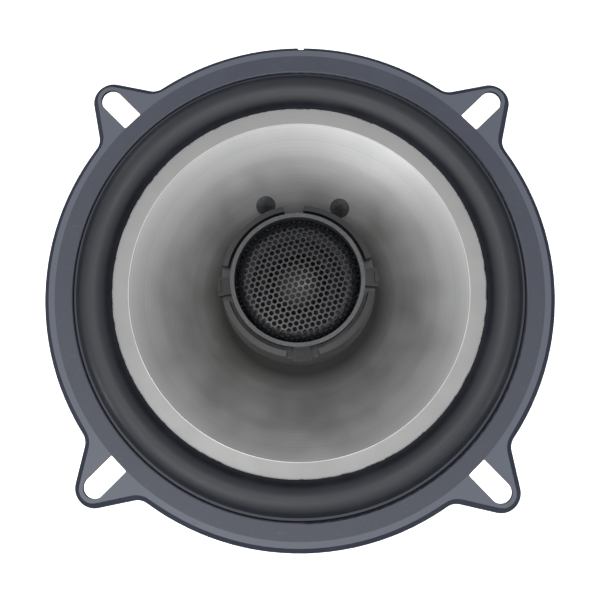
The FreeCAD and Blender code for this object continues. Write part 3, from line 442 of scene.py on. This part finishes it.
def satinPaintedAbs():
    # ABS trim ring under a satin graphite lacquer with a metallic fleck
    # the near-black tab colour is painted shade
    look = {"lacquer": "38393b", "fleck": "66676a", "fleckMm": 0.16, "tabShade": "0c0d0e", "ringMm": 15.8,
            "ringBlurMm": 0.1, "smearMm": 5.0, "peelMm": 0.4, "peelDepthMm": 0.006}
    material, tree, shader, place = newMaterial("satinPaintedAbs", Roughness=0.34, IOR=1.5, Metallic=0.25)
    fleck = stretch(tree, grain(tree, place, look["fleckMm"], 1.0), 0.55, 0.72, 0.0, 0.8)
    lacquer = mixColours(tree, fleck, toLinear(look["lacquer"]), toLinear(look["fleck"]))
    # painted shade: the snap tabs, down in the gaps of the ring, are coloured near black
    edge, blur = look["ringMm"] * mm, look["ringBlurMm"] * mm
    tabShade = stretch(tree, radiusOf(tree, place), edge, edge + blur, 0.0, 1.0)
    tree.links.new(mixColours(tree, tabShade, lacquer, toLinear(look["tabShade"])), shader.inputs["Base Color"])
    smear = grain(tree, place, look["smearMm"], 4.0)
    tree.links.new(stretch(tree, smear, 0.3, 0.7, 0.28, 0.42), shader.inputs["Roughness"])
    relief(tree, shader, grain(tree, place, look["peelMm"], 2.0), look["peelDepthMm"])
    return material


def blackLacqueredMesh():
    # perforated steel under a thin satin black lacquer: soft glints round the holes, a few dull spots
    look = {"black": "1a1b1e", "dust": "34353a", "dustMm": 0.7, "dullMm": 2.2, "peelMm": 0.5,
            "peelDepthMm": 0.03}
    material, tree, shader, place = newMaterial("blackLacqueredMesh", Roughness=0.25, IOR=1.55)
    dust = stretch(tree, grain(tree, place, look["dustMm"], 3.0), 0.52, 0.72, 0.0, 0.6)
    tree.links.new(mixColours(tree, dust, toLinear(look["black"]), toLinear(look["dust"])),
                   shader.inputs["Base Color"])
    dull = grain(tree, place, look["dullMm"], 4.0)
    tree.links.new(stretch(tree, dull, 0.35, 0.7, 0.18, 0.36), shader.inputs["Roughness"])
    relief(tree, shader, grain(tree, place, look["peelMm"], 2.0), look["peelDepthMm"])
    return material


def nickelPlate():
    # nickel plate on sintered neodymium: warm bright metal, slightly grainy
    look = {"nickel": "c6c2b8", "stain": "9b968c", "stainMm": 2.5, "grainMm": 0.3, "grainDepthMm": 0.01}
    material, tree, shader, place = newMaterial("nickelPlate", Metallic=1.0, Roughness=0.24)
    stain = grain(tree, place, look["stainMm"], 4.0)
    tree.links.new(mixColours(tree, stain, toLinear(look["nickel"]), toLinear(look["stain"])),
                   shader.inputs["Base Color"])
    relief(tree, shader, grain(tree, place, look["grainMm"], 3.0), look["grainDepthMm"])
    return material


def polyesterFilm():
    # thermoformed polyester film: smoky, half dull, with faint draw lines round the dome
    look = {"film": "060606", "pale": "0d0d0c", "lineMm": 0.5, "lineDepthMm": 0.02}
    material, tree, shader, place = newMaterial("polyesterFilm", Roughness=0.45, IOR=1.57)
    lines = spunMarks(tree, place, look["lineMm"])
    tree.links.new(mixColours(tree, lines, toLinear(look["film"]), toLinear(look["pale"])),
                   shader.inputs["Base Color"])
    relief(tree, shader, lines, look["lineDepthMm"])
    return material


def tinPlate():
    # electroplated tin on stamped brass: soft white metal, rolled grain, fingerprints
    look = {"tin": "c2c1bc", "brass": "a8965f", "wornMm": 2.0, "printMm": 1.0, "grainMm": 0.3,
            "grainDepthMm": 0.008}
    material, tree, shader, place = newMaterial("tinPlate", Metallic=1.0, Roughness=0.33)
    worn = stretch(tree, grain(tree, place, look["wornMm"], 5.0, 0.7), 0.55, 0.72, 0.0, 0.7)
    tree.links.new(mixColours(tree, worn, toLinear(look["tin"]), toLinear(look["brass"])),
                   shader.inputs["Base Color"])
    prints = grain(tree, place, look["printMm"], 5.0)
    tree.links.new(stretch(tree, prints, 0.3, 0.7, 0.25, 0.45), shader.inputs["Roughness"])
    relief(tree, shader, grain(tree, place, look["grainMm"], 3.0), look["grainDepthMm"])
    return material


def phenolicPaper():
    # phenolic paper board, sheared and punched: brown, faintly glossy, paper fibre showing
    look = {"board": "7a4d22", "fibre": "94642f", "fibreMm": 0.5, "fibreDepthMm": 0.02}
    material, tree, shader, place = newMaterial("phenolicPaper", Roughness=0.42, IOR=1.55)
    fibre = grain(tree, place, look["fibreMm"], 6.0, 0.7)
    tree.links.new(mixColours(tree, stretch(tree, fibre, 0.35, 0.65, 0.0, 1.0), toLinear(look["board"]),
                              toLinear(look["fibre"])), shader.inputs["Base Color"])
    relief(tree, shader, fibre, look["fibreDepthMm"])
    return material


def tinselBraid():
    # copper tinsel round a cotton core, braided: dull copper with pale threads crossing
    look = {"copper": "b07a4e", "thread": "d8c3a0", "ribMm": 0.22, "ribDepthMm": 0.05}
    material, tree, shader, place = newMaterial("tinselBraid", Metallic=0.7, Roughness=0.4)
    ribs = grain(tree, place, look["ribMm"], 2.0)
    tree.links.new(mixColours(tree, stretch(tree, ribs, 0.45, 0.6, 0.0, 1.0), toLinear(look["copper"]),
                              toLinear(look["thread"])), shader.inputs["Base Color"])
    relief(tree, shader, ribs, look["ribDepthMm"])
    return material


def pvcInsulation(name, jacketHex, dullHex):
    # extruded PVC insulation: smooth with a waxy sheen, rubbed duller in patches
    look = {"rubbedMm": 3.0, "skinMm": 0.4, "skinDepthMm": 0.01}
    material, tree, shader, place = newMaterial(name, Roughness=0.36, IOR=1.53)
    lighterTone = stretch(tree, grain(tree, place, look["rubbedMm"], 4.0), 0.42, 0.66, 0.0, 1.0)
    colour = mixColours(tree, lighterTone, toLinear(jacketHex), toLinear(dullHex))
    tree.links.new(colour, shader.inputs["Base Color"])
    tree.links.new(stretch(tree, lighterTone, 0.0, 1.0, 0.3, 0.5), shader.inputs["Roughness"])
    relief(tree, shader, grain(tree, place, look["skinMm"], 2.0), look["skinDepthMm"])
    return material


def shrunkSleeve():
    # heat-shrunk PVC sleeve on an electrolytic capacitor: dark blue gloss with a paler polarity stripe
    look = {"sleeve": "1c2b52", "scuffed": "4c5b80", "stripe": "a9b0bd", "stripeHalfMm": 0.9, "scuffMm": 1.2,
            "waveMm": 2.0, "waveDepthMm": 0.03}
    material, tree, shader, place = newMaterial("shrunkSleeve", Roughness=0.24, IOR=1.53)
    parts = addNode(tree, "ShaderNodeSeparateXYZ", {0: place})
    low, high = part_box("crossover_capacitor")
    middleZ = (low.z + high.z) / 2
    away = addNode(tree, "ShaderNodeMath", {0: parts.outputs["Z"], 1: middleZ}, operation="SUBTRACT")
    distance = addNode(tree, "ShaderNodeMath", {0: away.outputs[0]}, operation="ABSOLUTE").outputs[0]
    edge = look["stripeHalfMm"] * mm
    stripe = stretch(tree, distance, edge * 0.95, edge * 1.05, 1.0, 0.0)
    scuff = stretch(tree, grain(tree, place, look["scuffMm"], 5.0, 0.7), 0.6, 0.75, 0.0, 0.3)
    base = mixColours(tree, scuff, toLinear(look["sleeve"]), toLinear(look["scuffed"]))
    tree.links.new(mixColours(tree, stripe, base, toLinear(look["stripe"])), shader.inputs["Base Color"])
    relief(tree, shader, grain(tree, place, look["waveMm"], 3.0), look["waveDepthMm"])
    return material


def hotMelt():
    # hot-melt EVA glue: cloudy cream, half clear, smooth with trapped bubbles
    look = {"glue": "d8cfae", "bubble": "a79c74", "bubbleMm": 1.5, "lumpMm": 1.5, "lumpDepthMm": 0.08}
    material, tree, shader, place = newMaterial("hotMelt", Roughness=0.3, IOR=1.48, Subsurface_Weight=0.3,
                                                Subsurface_Scale=0.002)
    bubbles = addNode(tree, "ShaderNodeTexVoronoi", {"Vector": place, "Scale": 1000 / look["bubbleMm"]})
    dots = stretch(tree, bubbles.outputs["Distance"], 0.12, 0.2, 1.0, 0.0)
    tree.links.new(mixColours(tree, dots, toLinear(look["glue"]), toLinear(look["bubble"])),
                   shader.inputs["Base Color"])
    relief(tree, shader, grain(tree, place, look["lumpMm"], 2.0), look["lumpDepthMm"])
    return material


paintedSteel = powderCoatedSteel()
rubber = butylRubber()
aluminium = spunAluminium()
clearAdhesive = clearContactAdhesive()
blackAdhesive = blackRubberAdhesive()
cotton = resinCotton()
edgeCloth = dampedCambric()
amberFilm = polyimideFilm()
copper = enamelledCopper()
zinc = zincPlate()
ferrite = groundFerrite()
blackAbs = mouldedAbs()
bezelPaint = satinPaintedAbs()
meshLacquer = blackLacqueredMesh()
nickel = nickelPlate()
domeFilm = polyesterFilm()
tin = tinPlate()
boardMaterial = phenolicPaper()
tinsel = tinselBraid()
redPvc = pvcInsulation("redPvc", "8e1512", "a23a30")
blackPvc = pvcInsulation("blackPvc", "17181a", "2b2c2f")
sleeve = shrunkSleeve()
glue = hotMelt()

finishes = {
    "basket_frame": paintedSteel, "basket_rivets": paintedSteel,
    "cone": aluminium, "cone_edge_bead": clearAdhesive, "lead_glue_dots": blackAdhesive,
    "voice_coil_former": amberFilm, "voice_coil_winding": copper, "tweeter_coil": copper,
    "top_plate": zinc, "pole_yoke": zinc, "tweeter_post": zinc, "post_washer": zinc, "post_nut": zinc,
    "tweeter_yoke": zinc, "tweeter_pole_cap": zinc, "ferrite_magnet": ferrite,
    "tweeter_pod": blackAbs, "tweeter_frame_ring": blackAbs, "tweeter_bezel": bezelPaint,
    "tweeter_magnet": nickel, "tweeter_dome": domeFilm,
    "terminal_board": boardMaterial, "board_rivets": tin,
    "terminal_blade_positive": tin, "terminal_blade_negative": tin,
    "crossover_capacitor": sleeve, "capacitor_adhesive": glue,
    "capacitor_lead": redPvc, "tweeter_lead_positive": redPvc, "tweeter_lead_negative": blackPvc,
    "surround": rubber, "spider": cotton, "tweeter_dome_edge": edgeCloth, "tweeter_grille": meshLacquer,
    "tinsel_lead_positive": tinsel, "tinsel_lead_negative": tinsel,
}
for nodeName, material in finishes.items():
    cad[nodeName].data.materials.clear()
    cad[nodeName].data.materials.append(material)
print("materials given to", len(finishes), "nodes")


surroundSize = {
    "rollOuter": 56.35, "rollInner": 47.2, "rollRise": 4.3, "base": 2.8, "rubber": 0.5,
    "rimRadius": 57.1, "footInner": 53.6, "seat": 1.8, "lipInner": 43.55, "lipTop": 3.0,
    "segments": 288, "rollSteps": 44, "sharpDegrees": 40,
    "rimBevel": 0.4, "edgeRound": 0.12, "lipBevel": 0.15, "lipDrop": 0.2, "seam": 0.02,
    "sway": 0.05, "swayTurns": 2.2, "swayRise": 0.3, "swayAbove": 0.5,
}


def buildSurround(size):
    middle = (size["rollOuter"] + size["rollInner"]) / 2
    halfWidth = (size["rollOuter"] - size["rollInner"]) / 2
    rise = size["rollRise"]
    outer = (halfWidth ** 2 + rise ** 2) / (2 * rise)
    inner = outer - size["rubber"]
    lean = math.degrees(math.acos(halfWidth / outer))
    innerLean = math.degrees(math.asin((outer - rise) / inner))
    base, skin, lipTop = size["base"], size["rubber"], size["lipTop"]
    centre = (middle, base + rise - outer)
    seat = size["seat"]
    rim, bevel, edge = size["rimRadius"], size["rimBevel"], size["edgeRound"]
    lip, lipBevel = size["lipInner"], size["lipBevel"]
    profile = [(size["footInner"], seat), (rim - bevel, seat), (rim, seat + bevel)]
    profile += [(rim, base - edge), (rim - edge, base), (size["rollOuter"] + size["seam"], base)]
    profile += arcPoints(centre, outer, lean, 180 - lean, size["rollSteps"])
    profile += [(size["rollInner"], lipTop), (lip + lipBevel, lipTop), (lip, lipTop - size["lipDrop"])]
    profile += [(lip, lipTop - skin), (size["rollInner"] + skin, lipTop - skin)]
    profile += arcPoints(centre, inner, 180 - innerLean, innerLean, size["rollSteps"])
    profile += [(size["rollOuter"] - skin, seat + skin), (size["footInner"], seat + skin)]

    def wobble(index, radius, height, angle):
        # moulded rubber never lies quite true on its roll
        if height > base + size["swayAbove"]:
            turns = size["swayTurns"]
            spot = Vector((math.cos(angle) * turns, math.sin(angle) * turns, height * size["swayRise"]))
            height -= size["sway"] * (0.5 + 0.5 * noise.noise(spot))
        return radius, height

    mesh = turnedMesh("rubber_surround", profile, size["segments"], wobble)
    piece = finishMesh("rubber_surround", mesh, rubber, size["sharpDegrees"])
    blendByRadius(piece, size["rollOuter"], size["rollInner"], ("basket", "cone_assembly"))
    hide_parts("surround")


buildSurround(surroundSize)
print("surround built")


spiderSize = {
    "inner": 12.9, "outer": 36.7, "rim": 30.7, "base": -24.0, "cloth": 0.5, "waves": 4, "waveHeight": 0.8,
    "segments": 240, "waveSteps": 12, "neckHold": 0.5, "sharpDegrees": 50,
}


def buildSpider(size):
    halfWave = (size["rim"] - size["inner"]) / (2 * size["waves"] + 1)
    start = size["inner"] + halfWave
    upper, lower = [], []
    for surface, base in ((upper, size["base"] + size["cloth"]), (lower, size["base"])):
        surface.append((size["inner"], base))
        steps = 2 * size["waves"] * size["waveSteps"]
        for step in range(steps + 1):
            along = step / size["waveSteps"]
            height = base + size["waveHeight"] * math.sin(math.pi * along)
            surface.append((start + along * halfWave, height))
        surface.append((size["outer"], base))
    mesh = turnedMesh("spider_cloth", upper + lower[::-1], size["segments"])
    piece = finishMesh("spider_cloth", mesh, cotton, size["sharpDegrees"])
    blendByRadius(piece, size["rim"], size["inner"] + size["neckHold"], ("basket", "cone_assembly"))
    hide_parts("spider")


buildSpider(spiderSize)
print("spider built")


domeEdgeSize = {
    "start": 7.2, "rollWidth": 3.0, "rim": 11.5, "base": 9.4, "sheet": 0.3, "rise": 0.9,
    "segments": 160, "steps": 16, "sharpDegrees": 50,
}


def buildDomeEdge(size):
    end = size["start"] + size["rollWidth"]
    surfaces = []
    for base in (size["base"] + size["sheet"], size["base"]):
        line = []
        for step in range(size["steps"] + 1):
            share = step / size["steps"]
            height = base + size["rise"] * math.sin(math.pi * share)
            line.append((size["start"] + share * size["rollWidth"], height))
        line.append((size["rim"], base))
        surfaces.append(line)
    mesh = turnedMesh("dome_edge_cloth", surfaces[0] + surfaces[1][::-1], size["segments"])
    piece = finishMesh("dome_edge_cloth", mesh, edgeCloth, size["sharpDegrees"])
    blendByRadius(piece, end, size["start"], ("basket", "tweeter_diaphragm"))
    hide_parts("tweeter_dome_edge")


buildDomeEdge(domeEdgeSize)
print("dome edge built")


grilleSize = {
    "outer": 14.65, "foot": 12.6, "skirt": 0.3, "shoulder": 4.0, "capRadius": 45.0, "sheet": 0.4,
    "pitch": 1.43, "hole": 1.14, "turnDegrees": 15.0, "cellSides": 12, "rimWidth": 0.12,
    "weld": 0.02, "sharpDegrees": 40,
}


def grilleProfile(size):
    # where a point of the flat blank ends up on the pressed dome, by its distance from the middle
    shoulderZ = size["foot"] + size["skirt"]
    shoulderX = size["outer"] - size["shoulder"]
    reach = size["capRadius"] - size["shoulder"]
    capZ = shoulderZ - math.sqrt(reach ** 2 - shoulderX ** 2)
    capAngle = math.asin(shoulderX / reach)
    capLength = size["capRadius"] * capAngle
    bendLength = size["shoulder"] * (math.pi / 2 - capAngle)

    def place(distance):
        if distance <= capLength:
            angle = distance / size["capRadius"]
            return size["capRadius"] * math.sin(angle), capZ + size["capRadius"] * math.cos(angle)
        if distance <= capLength + bendLength:
            angle = capAngle + (distance - capLength) / size["shoulder"]
            bend = size["shoulder"]
            return shoulderX + bend * math.sin(angle), shoulderZ + bend * math.cos(angle)
        return size["outer"], shoulderZ - (distance - capLength - bendLength)

    return place, capLength + bendLength


def buildGrille(size):
    place, bendEnd = grilleProfile(size)
    pitch = size["pitch"]
    holedReach = bendEnd - size["rimWidth"]
    sides = size["cellSides"]
    turn = math.radians(size["turnDegrees"])
    rowPitch = pitch * math.sqrt(3) / 2
    build = bmesh.new()
    rows = int(holedReach / rowPitch) + 2
    for row in range(-rows, rows + 1):
        for column in range(-rows, rows + 1):
            centreX = (column + 0.5 * (row % 2)) * pitch
            centreY = row * rowPitch
            if math.hypot(centreX, centreY) > holedReach - pitch / 2:
                continue
            hole, cell = [], []
            for side in range(sides):
                angle = math.radians(30) + 2 * math.pi * side / sides
                cellReach = pitch / math.sqrt(3) if side % 2 == 0 else pitch / 2
                for ring, reach in ((hole, size["hole"] / 2), (cell, cellReach)):
                    spot = (centreX + reach * math.cos(angle), centreY + reach * math.sin(angle), 0)
                    ring.append(build.verts.new(spot))
            for side in range(sides):
                after = (side + 1) % sides
                build.faces.new((hole[side], cell[side], cell[after], hole[after]))
    # neighbouring cells share their corners, so that only the holes and the outer edge stay open
    bmesh.ops.remove_doubles(build, verts=build.verts, dist=size["weld"])
    # the ragged edge of the holed field is closed out to a plain rim
    field = []
    for edge in build.edges:
        if len(edge.link_faces) == 1:
            middle = (edge.verts[0].co + edge.verts[1].co) / 2
            outward = edge.link_faces[0].calc_center_median().length < middle.length
            fromHole = min((vertex.co - nearestHole(vertex.co, pitch)).length for vertex in edge.verts)
            if outward and fromHole > size["hole"] / 2 + size["weld"]:
                field.append(edge)
    around = sorted({v for edge in field for v in edge.verts}, key=lambda v: math.atan2(v.co.y, v.co.x))
    joined = {vertex: build.verts.new(vertex.co.normalized() * bendEnd) for vertex in around}
    rim = set(joined.values())
    for edge in field:
        first, last = edge.verts
        build.faces.new((first, last, joined[last], joined[first]))
    skirtEdges = [edge for edge in build.edges if rim.issuperset(edge.verts)]
    for edge in skirtEdges:
        first, last = edge.verts
        low = []
        for vertex in (first, last):
            if vertex not in joined:
                joined[vertex] = build.verts.new(vertex.co.normalized() * (bendEnd + size["skirt"]))
            low.append(joined[vertex])
        build.faces.new((first, last, low[1], low[0]))
    for vertex in build.verts:
        radius, height = place(vertex.co.length)
        direction = math.atan2(vertex.co.y, vertex.co.x) + turn
        vertex.co = Vector((radius * math.cos(direction), radius * math.sin(direction), height)) * mm
    bmesh.ops.recalc_face_normals(build, faces=build.faces)
    top = max(build.faces, key=lambda f: f.calc_center_median().z)
    if top.normal.z < 0:
        bmesh.ops.reverse_faces(build, faces=build.faces)
    mesh = bpy.data.meshes.new("perforated_grille")
    build.to_mesh(mesh)
    build.free()
    piece = bpy.data.objects.new("perforated_grille", mesh)
    bpy.context.scene.collection.objects.link(piece)
    thicken = piece.modifiers.new("sheet", "SOLIDIFY")
    thicken.thickness = size["sheet"] * mm
    thicken.offset = -1
    solid = bpy.data.meshes.new_from_object(piece.evaluated_get(bpy.context.evaluated_depsgraph_get()))
    bpy.data.objects.remove(piece)
    piece = finishMesh("perforated_grille", solid, meshLacquer, size["sharpDegrees"])
    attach(piece, "basket")
    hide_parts("tweeter_grille")


def nearestHole(point, pitch):
    # centre of the hole whose cell holds the point
    row = round(point.y / (pitch * math.sqrt(3) / 2))
    best = None
    for tryRow in (row - 1, row, row + 1):
        offset = 0.5 * (tryRow % 2)
        column = round(point.x / pitch - offset)
        centre = Vector(((column + offset) * pitch, tryRow * pitch * math.sqrt(3) / 2, 0))
        if best is None or (centre - point).length < (best - point).length:
            best = centre
    return best


buildGrille(grilleSize)
print("grille built")


leadSize = {
    "radius": 0.55, "strands": 3, "strandShare": 0.46, "twistPitch": 3.2,
    "sides": 8, "order": 3, "resolution": 10, "sharpDegrees": 60,
    "positive": [(-9.46, 24.65, -9.45), (-10.72, 27.91, -15.95), (-4.6, 39.32, -16.13),
                 (-4.6, 46.1, -22.04), (-4.0, 48.15, -20.9), (-4.0, 47.5, -17.9)],
    "negative": [(10.86, 24.06, -9.45), (12.3, 27.25, -15.95), (4.6, 39.32, -16.13),
                 (4.6, 46.1, -22.04), (4.0, 48.15, -20.9), (4.0, 47.5, -17.9)],
}


def buildTinselLead(name, points, size):
    route = smoothRoute(points, size["order"], size["resolution"])
    strandRadius = size["radius"] * size["strandShare"] * mm
    offset = size["radius"] * mm - strandRadius
    vertices, faces = [], []
    for strand in range(size["strands"]):
        travelled = 0.0
        path = []
        normal = (route[1] - route[0]).orthogonal().normalized()
        for index, point in enumerate(route):
            ahead = route[min(index + 1, len(route) - 1)] - route[max(index - 1, 0)]
            ahead.normalize()
            normal = (normal - ahead * normal.dot(ahead)).normalized()
            side = ahead.cross(normal)
            if index:
                travelled += (point - route[index - 1]).length / mm
            angle = 2 * math.pi * (travelled / size["twistPitch"] + strand / size["strands"])
            path.append(point + (normal * math.cos(angle) + side * math.sin(angle)) * offset)
        strandVertices, strandFaces = tubeAlong(path, strandRadius, size["sides"])
        start = len(vertices)
        vertices += strandVertices
        faces += [tuple(start + i for i in face) for face in strandFaces]
    mesh = bpy.data.meshes.new(name)
    mesh.from_pydata(vertices, [], faces)
    piece = finishMesh(name, mesh, tinsel, size["sharpDegrees"])
    hole, coneEnd = Vector(points[2]) * mm, Vector(points[0]) * mm
    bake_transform(piece, "basket", "cone_assembly", start=hole, end=coneEnd)
    return piece


for sign in ("positive", "negative"):
    lead = buildTinselLead("tinsel_" + sign, leadSize[sign], leadSize)
    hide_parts("tinsel_lead_" + sign)
print("tinsel leads built")


stageSize = {
    "floorHalf": 1.6, "floorGap": 0.2, "floorWhite": "f4f4f2", "floorGrey": "ecece9", "toneMm": 40.0,
    "floorGlow": 0.7, "floorShade": "1e1f21",
}
low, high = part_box("pole_yoke")
floorMesh = bpy.data.meshes.new("studio_floor")
half, floorZ = stageSize["floorHalf"], low.z - stageSize["floorGap"] * mm
corners = [(x * half, y * half, floorZ) for x, y in ((-1, -1), (1, -1), (1, 1), (-1, 1))]
floorMesh.from_pydata(corners, [], [(0, 1, 2, 3)])
paper, paperTree, paperShader, paperPlace = newMaterial("seamlessPaper", Roughness=0.9)
paperTone = stretch(paperTree, grain(paperTree, paperPlace, stageSize["toneMm"], 4.0), 0.3, 0.7, 0.0, 0.25)
# the floor is pale to the camera and dim to the speaker, so that the rim's rolled edge stays dark
onCamera = addNode(paperTree, "ShaderNodeLightPath").outputs["Is Camera Ray"]
paleTone = mixColours(paperTree, paperTone, toLinear(stageSize["floorWhite"]),
                      toLinear(stageSize["floorGrey"]))
paperTree.links.new(mixColours(paperTree, onCamera, toLinear(stageSize["floorShade"]), paleTone),
                    paperShader.inputs["Base Color"])
paperShader.inputs["Emission Color"].default_value = (1, 1, 1, 1)
paperTree.links.new(stretch(paperTree, onCamera, 0.0, 1.0, 0.0, stageSize["floorGlow"]),
                    paperShader.inputs["Emission Strength"])
floor = bpy.data.objects.new("studio_floor", floorMesh)
bpy.context.scene.collection.objects.link(floor)
floor.data.materials.append(paper)

lightLook = {
    "skyStops": ((0.0, 0.25), (0.09, 0.4), (0.26, 0.7), (0.50, 0.85), (0.70, 1.0), (0.82, 1.35), (0.91, 1.8),
                 (0.966, 1.8), (1.0, 1.6)),
    # the room is brighter towards lean and darker the other way, most of all overhead
    "lean": (-0.42, -0.95, 0.0),
    "backdrop": 0.93,
    # place, width, height, watts of each lamp; all point at the speaker
    "lamps": {
        "windowSoftbox": ((-0.34, -0.42, 0.72), 0.34, 0.34, 0.55),
        "ceilingLamp": ((0.038, 0.098, 0.80), 0.028, 0.028, 0.25),
        "deskLampLeft": ((-0.80, -0.34, 0.22), 0.05, 0.05, 0.5),
        "deskLampRight": ((0.80, -0.30, 0.24), 0.05, 0.05, 0.3),
        "deskLampBack": ((-0.55, 0.55, 0.25), 0.05, 0.05, 0.2),
    },
}
world = bpy.data.worlds.new("studio")
world.use_nodes = True
bpy.context.scene.world = world
sky = world.node_tree
sky.nodes.clear()
direction = addNode(sky, "ShaderNodeTexCoord").outputs["Generated"]
upward = addNode(sky, "ShaderNodeSeparateXYZ", {0: direction}).outputs["Z"]
ramp = addNode(sky, "ShaderNodeValToRGB", {0: upward})
stops = lightLook["skyStops"]
while len(ramp.color_ramp.elements) < len(stops):
    ramp.color_ramp.elements.new(0.5)
for element, (position, level) in zip(ramp.color_ramp.elements, stops):
    element.position = position
    element.color = (level, level, level * 1.01, 1)
sideways = addNode(sky, "ShaderNodeVectorMath", {0: direction, 1: lightLook["lean"]}, operation="DOT_PRODUCT")
height = addNode(sky, "ShaderNodeMath", {0: upward, 1: 2.0}, operation="POWER").outputs[0]
leaning = addNode(sky, "ShaderNodeMath", {0: sideways.outputs["Value"], 1: height}, operation="MULTIPLY")
share = addNode(sky, "ShaderNodeMath", {0: leaning.outputs[0], 1: 1.0, 2: 1.0}, operation="MULTIPLY_ADD")
skyLight = addNode(sky, "ShaderNodeVectorMath", {0: ramp.outputs[0], "Scale": share.outputs[0]},
                   operation="SCALE").outputs[0]
rays = addNode(sky, "ShaderNodeLightPath").outputs["Is Camera Ray"]
shown = lightLook["backdrop"]
seen = mixColours(sky, rays, skyLight, (shown, shown, shown, 1))
background = addNode(sky, "ShaderNodeBackground", {"Color": seen, "Strength": 1.0})
addNode(sky, "ShaderNodeOutputWorld", {0: background.outputs[0]})

for lampName, (spot, width, height, watts) in lightLook["lamps"].items():
    lamp = bpy.data.lights.new(lampName, "AREA")
    lamp.shape = "RECTANGLE"
    lamp.size, lamp.size_y = width, height
    lamp.energy = watts
    holder = bpy.data.objects.new(lampName, lamp)
    holder.location = spot
    holder.rotation_euler = (-Vector(spot)).to_track_quat("-Z", "Y").to_euler()
    bpy.context.scene.collection.objects.link(holder)

cameraSet = {"at": (2.992, -24.365, 171.988), "target": (0.384, -3.033, 3.0), "rollDegrees": 0.526,
             "lens": 40.547, "sensor": 36.0, "clip": 0.005}
camera = bpy.data.cameras.new("camera")
camera.lens = cameraSet["lens"]
camera.sensor_width = cameraSet["sensor"]
camera.clip_start = cameraSet["clip"]
cameraHolder = bpy.data.objects.new("camera", camera)
forward = (Vector(cameraSet["target"]) - Vector(cameraSet["at"])).normalized()
right = forward.cross(Vector((0, 1, 0))).normalized()
up = right.cross(forward)
turn = Matrix((right, up, -forward)).transposed().to_4x4()
roll = Matrix.Rotation(math.radians(cameraSet["rollDegrees"]), 4, "Z")
cameraHolder.matrix_world = Matrix.Translation(Vector(cameraSet["at"]) * mm) @ turn @ roll
bpy.context.scene.collection.objects.link(cameraHolder)
bpy.context.scene.camera = cameraHolder
bpy.context.scene.view_settings.view_transform = "Standard"
print("camera and light set")
